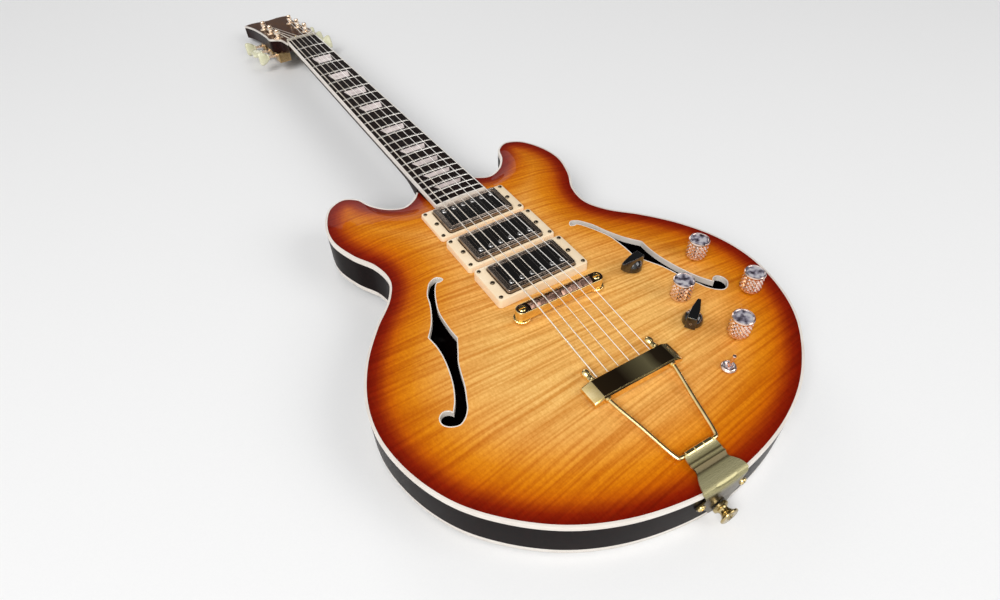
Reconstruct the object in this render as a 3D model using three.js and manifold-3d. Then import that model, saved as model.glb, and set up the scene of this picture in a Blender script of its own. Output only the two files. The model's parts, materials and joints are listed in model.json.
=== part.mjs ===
// A semi-hollow electric guitar, lying on its back with its strings up. Millimetres, +Z up.
// The guitar's own frame has its origin on the flat crown of the back, below the bridge end of the scale.
// +X is the treble side and +Y points to the headstock. The whole guitar is then tilted a little about
// that origin, because it rests on the tail end of the back's crown and on the outermost tuner cases.
import * as THREE from "three";
import { mergeVertices } from "three/addons/utils/BufferGeometryUtils.js";
import Module from "manifold-3d";

const wasm = await Module();
wasm.setup();

// Fits and cutters
const gap = 0.3;
const overrun = 2;
const weld = 0.001;
const degree = Math.PI / 180;

// Body outline, in plan
const boutHalf = 185;
const tailReach = 197.5;
const waistHalf = 109;
const waistReach = 106;
const hornHalf = 131.5;
const hornPastJoin = 30;
const neckJoinHalf = 28;
const neckJoinReach = 212;

// Body depth, walls and bindings
const rimDepth = 40;
const topArch = 5;
const backArch = 4;
const topThickness = 4.6;
const backThickness = 5.4;
const bindingWidth = 1.8;
const rimWall = 3.2;
const liningWidth = 5;
const liningHeight = 6.5;
const blockHalf = 48;

// Neck and fingerboard
const scaleLength = 628;
const neckPitch = 1.25 * degree;
const boardLift = 10.9;
const nutWidth = 42;
const boardEndWidth = 56;
const boardThickness = 6;
const boardRadius = 305;
const boardPastLastFret = 9.5;
const boardBinding = 1.5;
const fretCount = 22;
const fretWidth = 2.2;
const fretHeight = 1.1;
const nutThickness = 5;
const nutRise = 1.3;
const shaftDepthAtNut = 13.5;
const shaftDepthAtHeel = 18;
const heelDepth = 41;
const heelLength = 34;
const tenonHalf = 20;
const tenonSetBack = 2.27;
const tenonDepth = 29;

// Headstock
const headAngle = 9.5 * degree;
const headLength = 202;
const headHalf = 38;
const headThickness = 14.5;
const faceThickness = 2.5;

// Truss rod
const rodRadius = 2.2;
const rodNutRadius = 2.7;
const rodNutLength = 9;
const rodChannelHalf = 3.3;
const rodChannelDepth = 9;
const rodSetDepth = 5.5;
const coverThickness = 1.6;
const coverLength = 34;
const coverHalf = 12;

// Strings, from the thinnest to the thickest
const stringDiameters = [0.254, 0.33, 0.432, 0.66, 0.914, 1.168];
const spacingAtNut = 35;
const spacingAtBridge = 51;
const stringHeight = 15.5;
const stringOverFirstFret = 0.5;
const stringSides = 5;
const wrapSteps = 18;
const wrapTurns = 1.5;
const wrapClearance = 0.45;
const wrapHeight = 6;

// Tuners
const postSpacing = 41;
const firstPost = 47;
const postAcross = 21;
const postRadius = 3;
const postHeight = 12.5;
const wheelRadius = 5.2;
const wheelThickness = 3;
const wormRadius = 2.6;
const wormLength = 10;
const wormDepth = 4.6;
const shaftRadius = 1.7;
const caseDepth = 13.4;
const caseWall = 1.5;
const caseInner = 8;
const caseOuter = 10;
const caseBefore = 7;
const bushingRadius = 7;
const bushingHeight = 1.8;
const sleeveRadius = 4.8;
const buttonLength = 14;
const buttonWidth = 17;
const buttonThickness = 7;
const buttonClear = 11;
// How far each button is turned at rest, from lying level, string 1 first
const buttonTurns = [75 * degree, 60 * degree, 90 * degree, 90 * degree, 15 * degree, 85 * degree];

// Pickups and their rings, spread between the fingerboard's end and the bridge
const ringHeights = [4, 6.5, 9];
const ringToBoard = 0.73;
const ringToBridge = 18.7;
const ringSpace = 6.15;
const ringRail = 3.1;
const ringCorner = 3.2;
const windowLength = 71;
const ringShoulder = 10.5;
const coverClearance = 0.7;
const coverCorner = 3;
const pickupRise = 3;
const pickupBodyDepth = 19;
const pocketMargin = 0.6;
const pocketDepth = 24;

// Bridge
const bridgeSetBack = 1.8;
const bridgeSlant = -1.2 * degree;
const bridgeLength = 85;
const bridgeWidth = 11.5;
const bridgeHeight = 9.5;
const bridgeRise = 3.8;
const bridgePostAcross = 36.8;
const bridgePostRadius = 3.1;
const bridgePostDepth = 16;
const thumbwheelRadius = 7.5;
const thumbwheelThickness = 2.8;
const saddleWidth = 7.4;
const saddleLength = 5;

// Tailpiece
const tailBarFront = 88;
const tailBarWidth = 18;
const tailBarHalf = 41.5;
const tailBarFlatHalf = 33;
const tailBarHeight = 8;
const tailBarRise = 3;
const trapezeRodRadius = 2.2;
const trapezeRodAcross = 30.5;
const trapezeRodSetBack = 78;
const ballRadius = 3.6;
const hingeInset = 29;
const hingeClearance = 0.16;
const hingeHalf = 18;
const barrelRadius = 2.7;
const barrelHalf = 12;
const pinRadius = 1.5;
const bracketThickness = 1.8;
const bracketNeckHalf = 15.5;
const bracketEdgeHalf = 18;
const bracketEarHalf = 25;
const bracketFootHalf = 10;
const bracketEarDrop = 11;
const bracketEarHeight = 9;
const bracketFootDrop = 33;

// Controls
const knobRadius = 9.2;
const knobHeight = 18;
const knobLift = 1.2;
const shaftBore = 3.3;
const controlShaftRadius = 3;
const controlShaftHeight = 11;
const potRadius = 12;
const potHeight = 9;
const pointerRadius = 8.5;
const pointerReach = 15;
const pointerHeight = 13;
const pointerBladeHalf = 4.2;
const switchRadius = 13;
const toggleRadius = 3;
const toggleNutRadius = 6.5;
const toggleNutHeight = 2.4;
const toggleLeverLength = 12.5;
const toggleTipRadius = 2.1;
const toggleStemRadius = 1.3;
const toggleLean = 12 * degree;
const toggleBodyHalf = 5.5;
const toggleBodyDepth = 14;
const wireRadius = 1.3;
const jackInset = 77.5;
const jackFlangeRadius = 9;
const jackFlangeThickness = 1.6;
const jackBarrelRadius = 5;
const jackBore = 3.3;
const jackBodyRadius = 7.5;
const jackBodyLength = 17;

// Strap buttons
const strapFlangeRadius = 7.5;
const strapWaistRadius = 3.6;
const strapBaseRadius = 5.2;
const strapLength = 11;
const tailButtonHeight = 16;

// Colours and finishes
const flameMaple = { color: 0xb4481a, roughness: 0.18, metalness: 0 };
const darkLacquer = { color: 0x241214, roughness: 0.2, metalness: 0 };
const cream = { color: 0xeadfbd, roughness: 0.35, metalness: 0 };
const paleSpruce = { color: 0xc9a877, roughness: 0.7, metalness: 0 };
const darkWood = { color: 0x2a1a15, roughness: 0.5, metalness: 0 };
const blackLacquer = { color: 0x17100f, roughness: 0.15, metalness: 0 };
const blackPlastic = { color: 0x161616, roughness: 0.35, metalness: 0 };
const gold = { color: 0xc89b4b, roughness: 0.22, metalness: 1 };
const chrome = { color: 0xc9c9cc, roughness: 0.12, metalness: 1 };
const steel = { color: 0x9a9a9c, roughness: 0.35, metalness: 1 };
const pearlButton = { color: 0xd8d9b8, roughness: 0.3, metalness: 0 };
const stringSteel = { color: 0xc4c0b8, roughness: 0.3, metalness: 1 };
const stringWound = { color: 0xa89a82, roughness: 0.4, metalness: 1 };

// Half outlines of the body and of the flat crown inside it, from the tail's middle to the neck.
// Each pair is a share of the sizes that it is spread over, and both outlines have as many points.
const tailShares = [
  [0, -1],
  [0.205, -0.98],
  [0.411, -0.927],
  [0.595, -0.841],
  [0.762, -0.714],
  [0.886, -0.572],
  [0.968, -0.395],
  [1, -0.203],
  [0.973, -0.03],
];
const flankShares = [
  [0.73, 0.274],
  [0.434, 0.566],
  [0.132, 0.802],
  [0, 1],
];
const hornShares = [
  [0.848, 0.537],
  [0.939, 0.636],
  [1, 0.76],
  [0.97, 0.872],
  [0.867, 0.971],
  [0.738, 1],
  [0.635, 0.965],
  [0.582, 0.897],
];
const cutawayShares = [
  [0.494, 0.958],
  [0.38, 0.927],
  [0.274, 0.958],
];
const crownTailShares = [
  [0, -0.658],
  [0.119, -0.648],
  [0.238, -0.618],
  [0.346, -0.567],
  [0.449, -0.491],
  [0.524, -0.39],
  [0.573, -0.268],
  [0.589, -0.137],
  [0.573, -0.01],
];
const crownFlankShares = [
  [0.881, 0.208],
  [0.752, 0.425],
  [0.615, 0.642],
  [0.569, 0.887],
];
const crownHornShares = [
  [0.502, 0.479],
  [0.593, 0.57],
  [0.669, 0.661],
  [0.684, 0.711],
  [0.677, 0.744],
  [0.639, 0.756],
  [0.593, 0.748],
];
const crownCutawayShares = [
  [0.532, 0.83],
  [0.441, 0.807],
  [0.335, 0.792],
  [0.243, 0.788],
  [0.183, 0.792],
];

// The treble f-hole, as shares of its width and length from its corner nearest the tail and the strings,
// which lies at a share of the body's half width from its middle
const fHoleAcrossShare = 0.373;
const fHoleSetBack = 63;
const fHoleWidth = 71.5;
const fHoleLength = 146;
const fHoleShares = [
  [0, 0.962],
  [0.021, 0.986],
  [0.07, 1],
  [0.161, 0.983],
  [0.224, 0.945],
  [0.28, 0.897],
  [0.329, 0.815],
  [0.399, 0.733],
  [0.476, 0.664],
  [0.587, 0.592],
  [0.573, 0.514],
  [0.58, 0.432],
  [0.608, 0.349],
  [0.65, 0.267],
  [0.699, 0.199],
  [0.769, 0.13],
  [0.839, 0.082],
  [0.874, 0.103],
  [0.937, 0.111],
  [0.993, 0.089],
  [1, 0.048],
  [0.937, 0.014],
  [0.853, 0],
  [0.776, 0.017],
  [0.699, 0.058],
  [0.643, 0.116],
  [0.58, 0.188],
  [0.531, 0.267],
  [0.476, 0.349],
  [0.413, 0.408],
  [0.315, 0.503],
  [0.322, 0.568],
  [0.317, 0.651],
  [0.301, 0.733],
  [0.259, 0.801],
  [0.196, 0.877],
  [0.126, 0.938],
  [0.091, 0.955],
  [0.042, 0.952],
];

// Half of the headstock, as shares of its half width and its length from the nut
const headSideShares = [
  [0.55, 0],
  [0.545, 0.1],
  [0.56, 0.19],
  [0.64, 0.225],
  [0.77, 0.255],
  [0.86, 0.285],
  [0.825, 0.42],
  [0.815, 0.62],
  [0.86, 0.82],
  [0.95, 0.93],
  [1, 0.965],
];
const headEndShares = [
  [0.78, 0.995],
  [0.52, 1],
  [0.25, 0.985],
  [0, 0.97],
];

// Where the controls stand on the treble side, as shares of the body's half width and tail reach
const knobPlaceShares = [
  [0.7514, -0.0886],
  [0.4919, -0.2532],
  [0.8108, -0.3696],
  [0.5486, -0.5367],
];
const pointerPlaceShares = [
  [0.4297, -0.0051],
  [0.4243, -0.3939],
];
const togglePlaceShares = [[0.3751, -0.6471]];
const pointerTurns = [190 * degree, 33 * degree];

// Places that follow the neck joint and the tail
const hornReach = neckJoinReach + hornPastJoin;
const hingeSetBack = tailReach - hingeInset;
const jackSetBack = tailReach - jackInset;

// Heights in the guitar's frame
const rimTop = backArch + rimDepth;
const crownTop = rimTop + topArch;
const rimUnderTop = rimTop - topThickness - gap;
const rimOverBack = backArch + backThickness + gap;
const boardEnd = scaleLength * 2 ** (-fretCount / 12) - boardPastLastFret;

// Pickup sizes that follow the room between the board and the bridge
const ringRoom = boardEnd - ringToBoard - ringToBridge;
const ringWidth = (ringRoom - ringSpace * (ringHeights.length - 1)) / ringHeights.length;
const ringLength = windowLength + 2 * ringShoulder;
const windowWidth = ringWidth - 2 * ringRail;
const coverTopLength = windowLength - 2 * coverClearance;
const coverTopWidth = windowWidth - 2 * coverClearance;
const pocketLength = windowLength + 2 * pocketMargin;
const pocketWidth = windowWidth + 2 * pocketMargin;

// A mesh with its own material under a name, added to its parent
function piece(name, geometry, finish, parent) {
  const mesh = new THREE.Mesh(geometry, new THREE.MeshStandardMaterial(finish));
  mesh.name = name;
  parent.add(mesh);
  return mesh;
}

// Closed geometries as solids and back
function toSolid(geometry) {
  const plain = new THREE.BufferGeometry();
  const source = geometry.index ? geometry.toNonIndexed() : geometry;
  plain.setAttribute("position", source.getAttribute("position"));
  const merged = mergeVertices(plain, weld);
  const mesh = new wasm.Mesh({
    numProp: 3,
    vertProperties: merged.attributes.position.array,
    triVerts: new Uint32Array(merged.index.array),
  });
  return new wasm.Manifold(mesh);
}

function toGeometry(solid) {
  const mesh = solid.getMesh();
  const geometry = new THREE.BufferGeometry();
  geometry.setAttribute("position", new THREE.BufferAttribute(new Float32Array(mesh.vertProperties), 3));
  geometry.setIndex(new THREE.BufferAttribute(mesh.triVerts, 1));
  geometry.computeVertexNormals();
  return geometry;
}

function join(...geometries) {
  return toGeometry(geometries.map(toSolid).reduce((whole, next) => whole.add(next)));
}

function cut(geometry, ...cutters) {
  return toGeometry(cutters.map(toSolid).reduce((whole, next) => whole.subtract(next), toSolid(geometry)));
}

function common(a, b) {
  return toGeometry(toSolid(a).intersect(toSolid(b)));
}

// A smooth open curve through points in plan, with a fixed number of steps between neighbours
function smooth(points, steps) {
  const places = points.map(([x, y]) => new THREE.Vector3(x, y, 0));
  const curve = new THREE.CatmullRomCurve3(places, false, "centripetal");
  return curve.getPoints((points.length - 1) * steps).map((p) => new THREE.Vector2(p.x, p.y));
}

// A half outline in plan joined to its mirror image, running anticlockwise from its last point's mirror
function mirrored(half) {
  const otherSide = half.map(([x, y]) => [-x, y]).reverse();
  return [...otherSide, ...half.slice(1)];
}

function spread(shares, across, along) {
  return shares.map(([x, y]) => [across * x, along * y]);
}

const knobPlaces = spread(knobPlaceShares, boutHalf, tailReach);
const pointerPlaces = spread(pointerPlaceShares, boutHalf, tailReach);
const [togglePlace] = spread(togglePlaceShares, boutHalf, tailReach);

function inwardNormal(from, to) {
  return new THREE.Vector2(from.y - to.y, to.x - from.x).normalize();
}

// An anticlockwise ring in plan moved inwards, with mitred corners; a negative distance moves it outwards
function inset(ring, distance) {
  return ring.map((place, i) => {
    const before = ring[(i + ring.length - 1) % ring.length];
    const after = ring[(i + 1) % ring.length];
    const inward = inwardNormal(before, place).add(inwardNormal(place, after));
    return place.clone().addScaledVector(inward, (2 * distance) / inward.lengthSq());
  });
}

// Triangles over a flat ring, facing along the ring's own normal
function capFaces(ring) {
  const normal = new THREE.Vector3();
  ring.forEach((p, i) => normal.add(new THREE.Vector3().crossVectors(p, ring[(i + 1) % ring.length])));
  normal.normalize();
  const side = new THREE.Vector3(normal.y, normal.z, normal.x).cross(normal).normalize();
  const up = new THREE.Vector3().crossVectors(normal, side);
  const flat = ring.map((p) => new THREE.Vector2(p.dot(side), p.dot(up)));
  return THREE.ShapeUtils.triangulateShape(flat, []).map(([a, b, c]) => {
    const turn = THREE.ShapeUtils.area([flat[a], flat[b], flat[c]]);
    return turn > 0 ? [a, b, c] : [a, c, b];
  });
}

// A closed solid through rings of as many points each, capped at both ends
function loft(rings) {
  const count = rings[0].length;
  const last = (rings.length - 1) * count;
  const places = rings.flat();
  const faces = [];
  for (let r = 0; r + 1 < rings.length; r++) {
    for (let i = 0; i < count; i++) {
      const a = r * count + i;
      const b = r * count + ((i + 1) % count);
      faces.push([a, b, b + count], [a, b + count, a + count]);
    }
  }
  capFaces(rings[0]).forEach(([a, b, c]) => faces.push([a, c, b]));
  capFaces(rings.at(-1)).forEach(([a, b, c]) => faces.push([last + a, last + b, last + c]));
  let volume = 0;
  faces.forEach(([a, b, c]) => {
    volume += places[a].dot(new THREE.Vector3().crossVectors(places[b], places[c]));
  });
  const outward = volume > 0 ? faces : faces.map(([a, b, c]) => [a, c, b]);
  const geometry = new THREE.BufferGeometry().setFromPoints(places);
  geometry.setIndex(outward.flat());
  geometry.computeVertexNormals();
  return geometry;
}

// Prisms, boxes and turned pieces along Z
function prism(points, low, high) {
  const shape = new THREE.Shape(points);
  return new THREE.ExtrudeGeometry(shape, { depth: high - low, bevelEnabled: false }).translate(0, 0, low);
}

function box(x0, x1, y0, y1, z0, z1) {
  const geometry = new THREE.BoxGeometry(x1 - x0, y1 - y0, z1 - z0);
  return geometry.translate((x0 + x1) / 2, (y0 + y1) / 2, (z0 + z1) / 2);
}

function roundedPlate(length, width, corner, low, high) {
  const x = length / 2;
  const y = width / 2;
  const shape = new THREE.Shape();
  shape.moveTo(corner - x, -y);
  shape.absarc(x - corner, corner - y, corner, -Math.PI / 2, 0);
  shape.absarc(x - corner, y - corner, corner, 0, Math.PI / 2);
  shape.absarc(corner - x, y - corner, corner, Math.PI / 2, Math.PI);
  shape.absarc(corner - x, corner - y, corner, Math.PI, Math.PI * 1.5);
  return prism(shape.getPoints(2), low, high);
}

function turned(profile, sides) {
  const points = [[0, profile[0][1]], ...profile, [0, profile.at(-1)[1]]];
  const outline = points.map(([radius, height]) => new THREE.Vector2(radius, height));
  return new THREE.LatheGeometry(outline, sides).rotateX(Math.PI / 2);
}

function drum(radius, low, high, sides) {
  const profile = [
    [radius, low],
    [radius, high],
  ];
  return turned(profile, sides);
}

// A round tube through points, its rings carried along the path without twist
function tube(path, radius, sides) {
  const rings = [];
  const tangents = path.map((place, i) => {
    const from = path[Math.max(i - 1, 0)];
    const to = path[Math.min(i + 1, path.length - 1)];
    const into = new THREE.Vector3().subVectors(place, from).normalize();
    const out = new THREE.Vector3().subVectors(to, place).normalize();
    return into.add(out).normalize();
  });
  const side = new THREE.Vector3(0, 0, 1).cross(tangents[0]).normalize();
  path.forEach((place, i) => {
    side.addScaledVector(tangents[i], -side.dot(tangents[i])).normalize();
    const up = new THREE.Vector3().crossVectors(tangents[i], side);
    const ring = [];
    for (let k = 0; k < sides; k++) {
      const angle = (2 * Math.PI * k) / sides;
      const spoke = side.clone().multiplyScalar(Math.cos(angle)).addScaledVector(up, Math.sin(angle));
      ring.push(place.clone().addScaledVector(spoke, radius));
    }
    rings.push(ring);
  });
  return loft(rings);
}

// Body rings
const outlineHalf = [
  ...spread(tailShares, boutHalf, tailReach),
  ...flankShares.map(([x, y]) => [waistHalf + (boutHalf - waistHalf) * x, waistReach * y]),
  ...spread(hornShares, hornHalf, hornReach),
  ...spread(cutawayShares, hornHalf, neckJoinReach),
  [neckJoinHalf, neckJoinReach],
];
const crownHalf = [
  ...spread(crownTailShares, boutHalf, tailReach),
  ...spread(crownFlankShares, waistHalf, waistReach),
  ...spread(crownHornShares, hornHalf, hornReach),
  ...spread(crownCutawayShares, hornHalf, neckJoinReach),
];
const outlineSteps = 2;
const archSteps = 3;
const bodyRing = smooth(mirrored(outlineHalf), outlineSteps);
const crownRing = smooth(mirrored(crownHalf), outlineSteps);

// Rings from a plate's edge to its crown, rising in a smooth arch
function archRings(edge, edgeHeight, crownHeight) {
  const rings = [];
  for (let k = 0; k <= archSteps; k++) {
    const share = k / archSteps;
    const height = edgeHeight + ((crownHeight - edgeHeight) * (1 - Math.cos(Math.PI * share))) / 2;
    rings.push(edge.map((p, i) => {
      const place = p.clone().lerp(crownRing[i], share);
      return new THREE.Vector3(place.x, place.y, height);
    }));
  }
  return rings;
}

function archedPlate(insetBy, lowerEdge, lowerCrown, upperEdge, upperCrown) {
  const edge = inset(bodyRing, insetBy);
  return loft([
    ...archRings(edge, lowerEdge, lowerCrown).reverse(),
    ...archRings(edge, upperEdge, upperCrown),
  ]);
}

const plateInset = bindingWidth + gap;
const plainTop = archedPlate(plateInset, rimTop - topThickness, crownTop - topThickness, rimTop, crownTop);

// The highest point of the top below a round foot
function seatHeight(x, y, radius) {
  const mesh = new THREE.Mesh(plainTop, new THREE.MeshStandardMaterial());
  const ray = new THREE.Raycaster();
  const down = new THREE.Vector3(0, 0, -1);
  let highest = 0;
  for (let k = 0; k <= 12; k++) {
    const reach = k === 12 ? 0 : radius;
    const angle = (Math.PI * k) / 6;
    const from = new THREE.Vector3(x + reach * Math.cos(angle), y + reach * Math.sin(angle), 2 * crownTop);
    ray.set(from, down);
    highest = Math.max(highest, ...ray.intersectObject(mesh).map((hit) => hit.point.z));
  }
  return highest;
}

// The lowest point of the top's underside above a round body
function ceilingHeight(x, y, radius) {
  const mesh = new THREE.Mesh(plainTop, new THREE.MeshStandardMaterial());
  const ray = new THREE.Raycaster();
  const up = new THREE.Vector3(0, 0, 1);
  let lowest = crownTop;
  for (let k = 0; k < 12; k++) {
    const angle = (Math.PI * k) / 6;
    const from = new THREE.Vector3(x + radius * Math.cos(angle), y + radius * Math.sin(angle), 0);
    ray.set(from, up);
    lowest = Math.min(lowest, ...ray.intersectObject(mesh).map((hit) => hit.point.z));
  }
  return lowest;
}

const hingeHeight = seatHeight(0, -hingeSetBack, barrelRadius) + hingeClearance + barrelRadius;

// The groups that carry the neck's and the headstock's own frames. The neck's has its origin on the
// plane of the fingerboard over the bridge, the headstock's behind the nut, level with the board's underside.
const guitar = new THREE.Group();
const neckFrame = new THREE.Group();
neckFrame.position.set(0, 0, crownTop + boardLift);
neckFrame.rotation.x = -neckPitch;
const headFrame = new THREE.Group();
headFrame.position.set(0, scaleLength + nutThickness, -boardThickness);
headFrame.rotation.x = -headAngle;
neckFrame.add(headFrame);
guitar.add(neckFrame);
guitar.updateMatrixWorld(true);
const guitarToNeck = neckFrame.matrixWorld.clone().invert();
const neckToHead = headFrame.matrix.clone().invert();

// The neck's tenon, or the pocket for it with a clearance all round
function tenonBox(clearance) {
  const high = crownTop + boardLift;
  return box(
    -tenonHalf - clearance,
    tenonHalf + clearance,
    boardEnd + tenonSetBack - clearance,
    neckJoinReach + overrun,
    crownTop - tenonDepth - clearance,
    high,
  );
}

function pickupCentre(index) {
  return boardEnd - ringToBoard - ringWidth / 2 - (ringWidth + ringSpace) * index;
}

function bridgePostPlace(side) {
  const across = side * bridgePostAcross;
  return [across * Math.cos(bridgeSlant), across * Math.sin(bridgeSlant) - bridgeSetBack];
}

const fHole = spread(fHoleShares, fHoleWidth, fHoleLength).map(
  ([x, y]) => new THREE.Vector2(fHoleAcrossShare * boutHalf + x, y - fHoleSetBack),
);
const sides = [1, -1];
const holeSides = 8;

function buildBody() {
  const below = rimTop - topThickness - overrun;
  const above = crownTop + overrun;
  const topCutters = [tenonBox(gap)];
  sides.forEach((side) => {
    const hole = fHole.map((p) => new THREE.Vector2(side * p.x, p.y));
    topCutters.push(prism(hole, below, above));
    const [x, y] = bridgePostPlace(side);
    topCutters.push(drum(bridgePostRadius + gap, below, above, holeSides).translate(x, y, 0));
  });
  ringHeights.forEach((height, index) => {
    const y = pickupCentre(index);
    topCutters.push(
      box(-pocketLength / 2, pocketLength / 2, y - pocketWidth / 2, y + pocketWidth / 2, below, above),
    );
  });
  [...knobPlaces, ...pointerPlaces, togglePlace].forEach(([x, y]) => {
    topCutters.push(drum(controlShaftRadius + gap, below, above, holeSides).translate(x, y, 0));
  });
  piece("body_top", cut(plainTop, ...topCutters), flameMaple, guitar);

  const back = archedPlate(plateInset, backArch, 0, backArch + backThickness, backThickness);
  piece("body_back", back, darkLacquer, guitar);

  const wall = cut(
    prism(bodyRing, rimOverBack, rimUnderTop),
    prism(inset(bodyRing, rimWall), rimOverBack + liningHeight, rimUnderTop - liningHeight),
    prism(inset(bodyRing, rimWall + liningWidth), rimOverBack - overrun, rimUnderTop + overrun),
    tenonBox(gap),
    jackCutter(),
  );
  piece("body_rims", wall, darkLacquer, guitar);

  const neckCut = box(
    -boardEndWidth / 2 - gap,
    boardEndWidth / 2 + gap,
    neckJoinReach - 3 * bindingWidth,
    neckJoinReach + overrun,
    below,
    above,
  );
  const bindingLow = rimTop - topThickness;
  const topBinding = cut(
    prism(bodyRing, bindingLow, rimTop),
    prism(inset(bodyRing, bindingWidth), bindingLow - overrun, rimTop + overrun),
    neckCut,
  );
  piece("top_binding", topBinding, cream, guitar);
  const backBinding = cut(
    prism(bodyRing, backArch, backArch + backThickness),
    prism(inset(bodyRing, bindingWidth), backArch - overrun, rimOverBack + overrun),
  );
  piece("back_binding", backBinding, cream, guitar);

  const room = archedPlate(
    rimWall + liningWidth + gap,
    rimOverBack,
    backThickness + gap,
    rimUnderTop,
    crownTop - topThickness - gap,
  );
  const blockCutters = [tenonBox(gap)];
  ringHeights.forEach((height, index) => {
    const y = pickupCentre(index);
    blockCutters.push(
      box(
        -pocketLength / 2,
        pocketLength / 2,
        y - pocketWidth / 2,
        y + pocketWidth / 2,
        crownTop - pocketDepth,
        above,
      ),
    );
  });
  sides.forEach((side) => {
    const [x, y] = bridgePostPlace(side);
    const low = crownTop - bridgePostDepth - gap;
    blockCutters.push(drum(bridgePostRadius + gap, low, above, holeSides).translate(x, y, 0));
  });
  const slab = box(-blockHalf, blockHalf, -tailReach, neckJoinReach, 0, crownTop);
  piece("centre_block", cut(common(room, slab), ...blockCutters), paleSpruce, guitar);
}

// The jack stands in the middle of a straight run of the rim, square to it
function jackFrame() {
  const middle = (i) => bodyRing[i].clone().add(bodyRing[i + 1]).divideScalar(2);
  let nearest = 0;
  for (let i = 0; i + 1 < bodyRing.length; i++) {
    const place = middle(i);
    const better = Math.abs(place.y + jackSetBack) < Math.abs(middle(nearest).y + jackSetBack);
    if (place.x > boutHalf / 2 && (better || middle(nearest).x < boutHalf / 2)) {
      nearest = i;
    }
  }
  const place = middle(nearest);
  const outward = inwardNormal(bodyRing[nearest], bodyRing[nearest + 1]).negate();
  const frame = new THREE.Group();
  frame.position.set(place.x, place.y, backArch + rimDepth / 2);
  const z = new THREE.Vector3(outward.x, outward.y, 0);
  const x = new THREE.Vector3(0, 0, 1);
  const y = new THREE.Vector3().crossVectors(z, x);
  frame.quaternion.setFromRotationMatrix(new THREE.Matrix4().makeBasis(x, y, z));
  frame.updateMatrix();
  return frame;
}

function jackCutter() {
  const hole = drum(jackBarrelRadius + gap, -rimWall - overrun, overrun, holeSides);
  return hole.applyMatrix4(jackFrame().matrix);
}

// Neck, fingerboard and what lies between them
function boardHalf(y) {
  const share = (scaleLength - y) / (scaleLength - boardEnd);
  return (nutWidth + (boardEndWidth - nutWidth) * share) / 2;
}

function boardSection(y, half, low, lift) {
  const arcSteps = 3;
  const ring = [];
  for (let k = 0; k <= arcSteps; k++) {
    const x = half - (2 * half * k) / arcSteps;
    ring.push(new THREE.Vector3(x, y, lift - (x * x) / (2 * boardRadius)));
  }
  ring.push(new THREE.Vector3(-half, y, low));
  ring.push(new THREE.Vector3(half, y, low));
  return ring;
}

function neckSection(y, top, half, depth, fullness) {
  const arcSteps = 8;
  const ring = [];
  for (let k = 0; k <= arcSteps; k++) {
    const angle = (Math.PI * k) / arcSteps;
    const x = Math.sign(Math.cos(angle)) * Math.abs(Math.cos(angle)) ** (2 / fullness);
    const z = Math.abs(Math.sin(angle)) ** (2 / fullness);
    ring.push(new THREE.Vector3(half * x, y, top - depth * z));
  }
  return ring;
}

function headOutline() {
  const side = smooth(spread(headSideShares, headHalf, headLength), 1);
  const end = smooth(spread([headSideShares.at(-1), ...headEndShares], headHalf, headLength), 1);
  const half = [...side, ...end.slice(1)];
  const otherHalf = half.map((p) => new THREE.Vector2(-p.x, p.y)).reverse();
  return [...half, ...otherHalf.slice(1)];
}

const woodTop = -boardThickness - gap;
const headWoodTop = -faceThickness - gap;

function rodChannel() {
  return box(
    -rodChannelHalf,
    rodChannelHalf,
    neckJoinReach + gap + overrun,
    scaleLength + nutThickness + coverLength * 0.7,
    woodTop - rodChannelDepth,
    0,
  );
}

function tunerPlaces() {
  return [0, 1, 2, 3, 4, 5].map((index) => {
    const side = index < 3 ? 1 : -1;
    const row = index < 3 ? index : 5 - index;
    return { index, side, x: side * postAcross, y: firstPost + postSpacing * row };
  });
}

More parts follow.
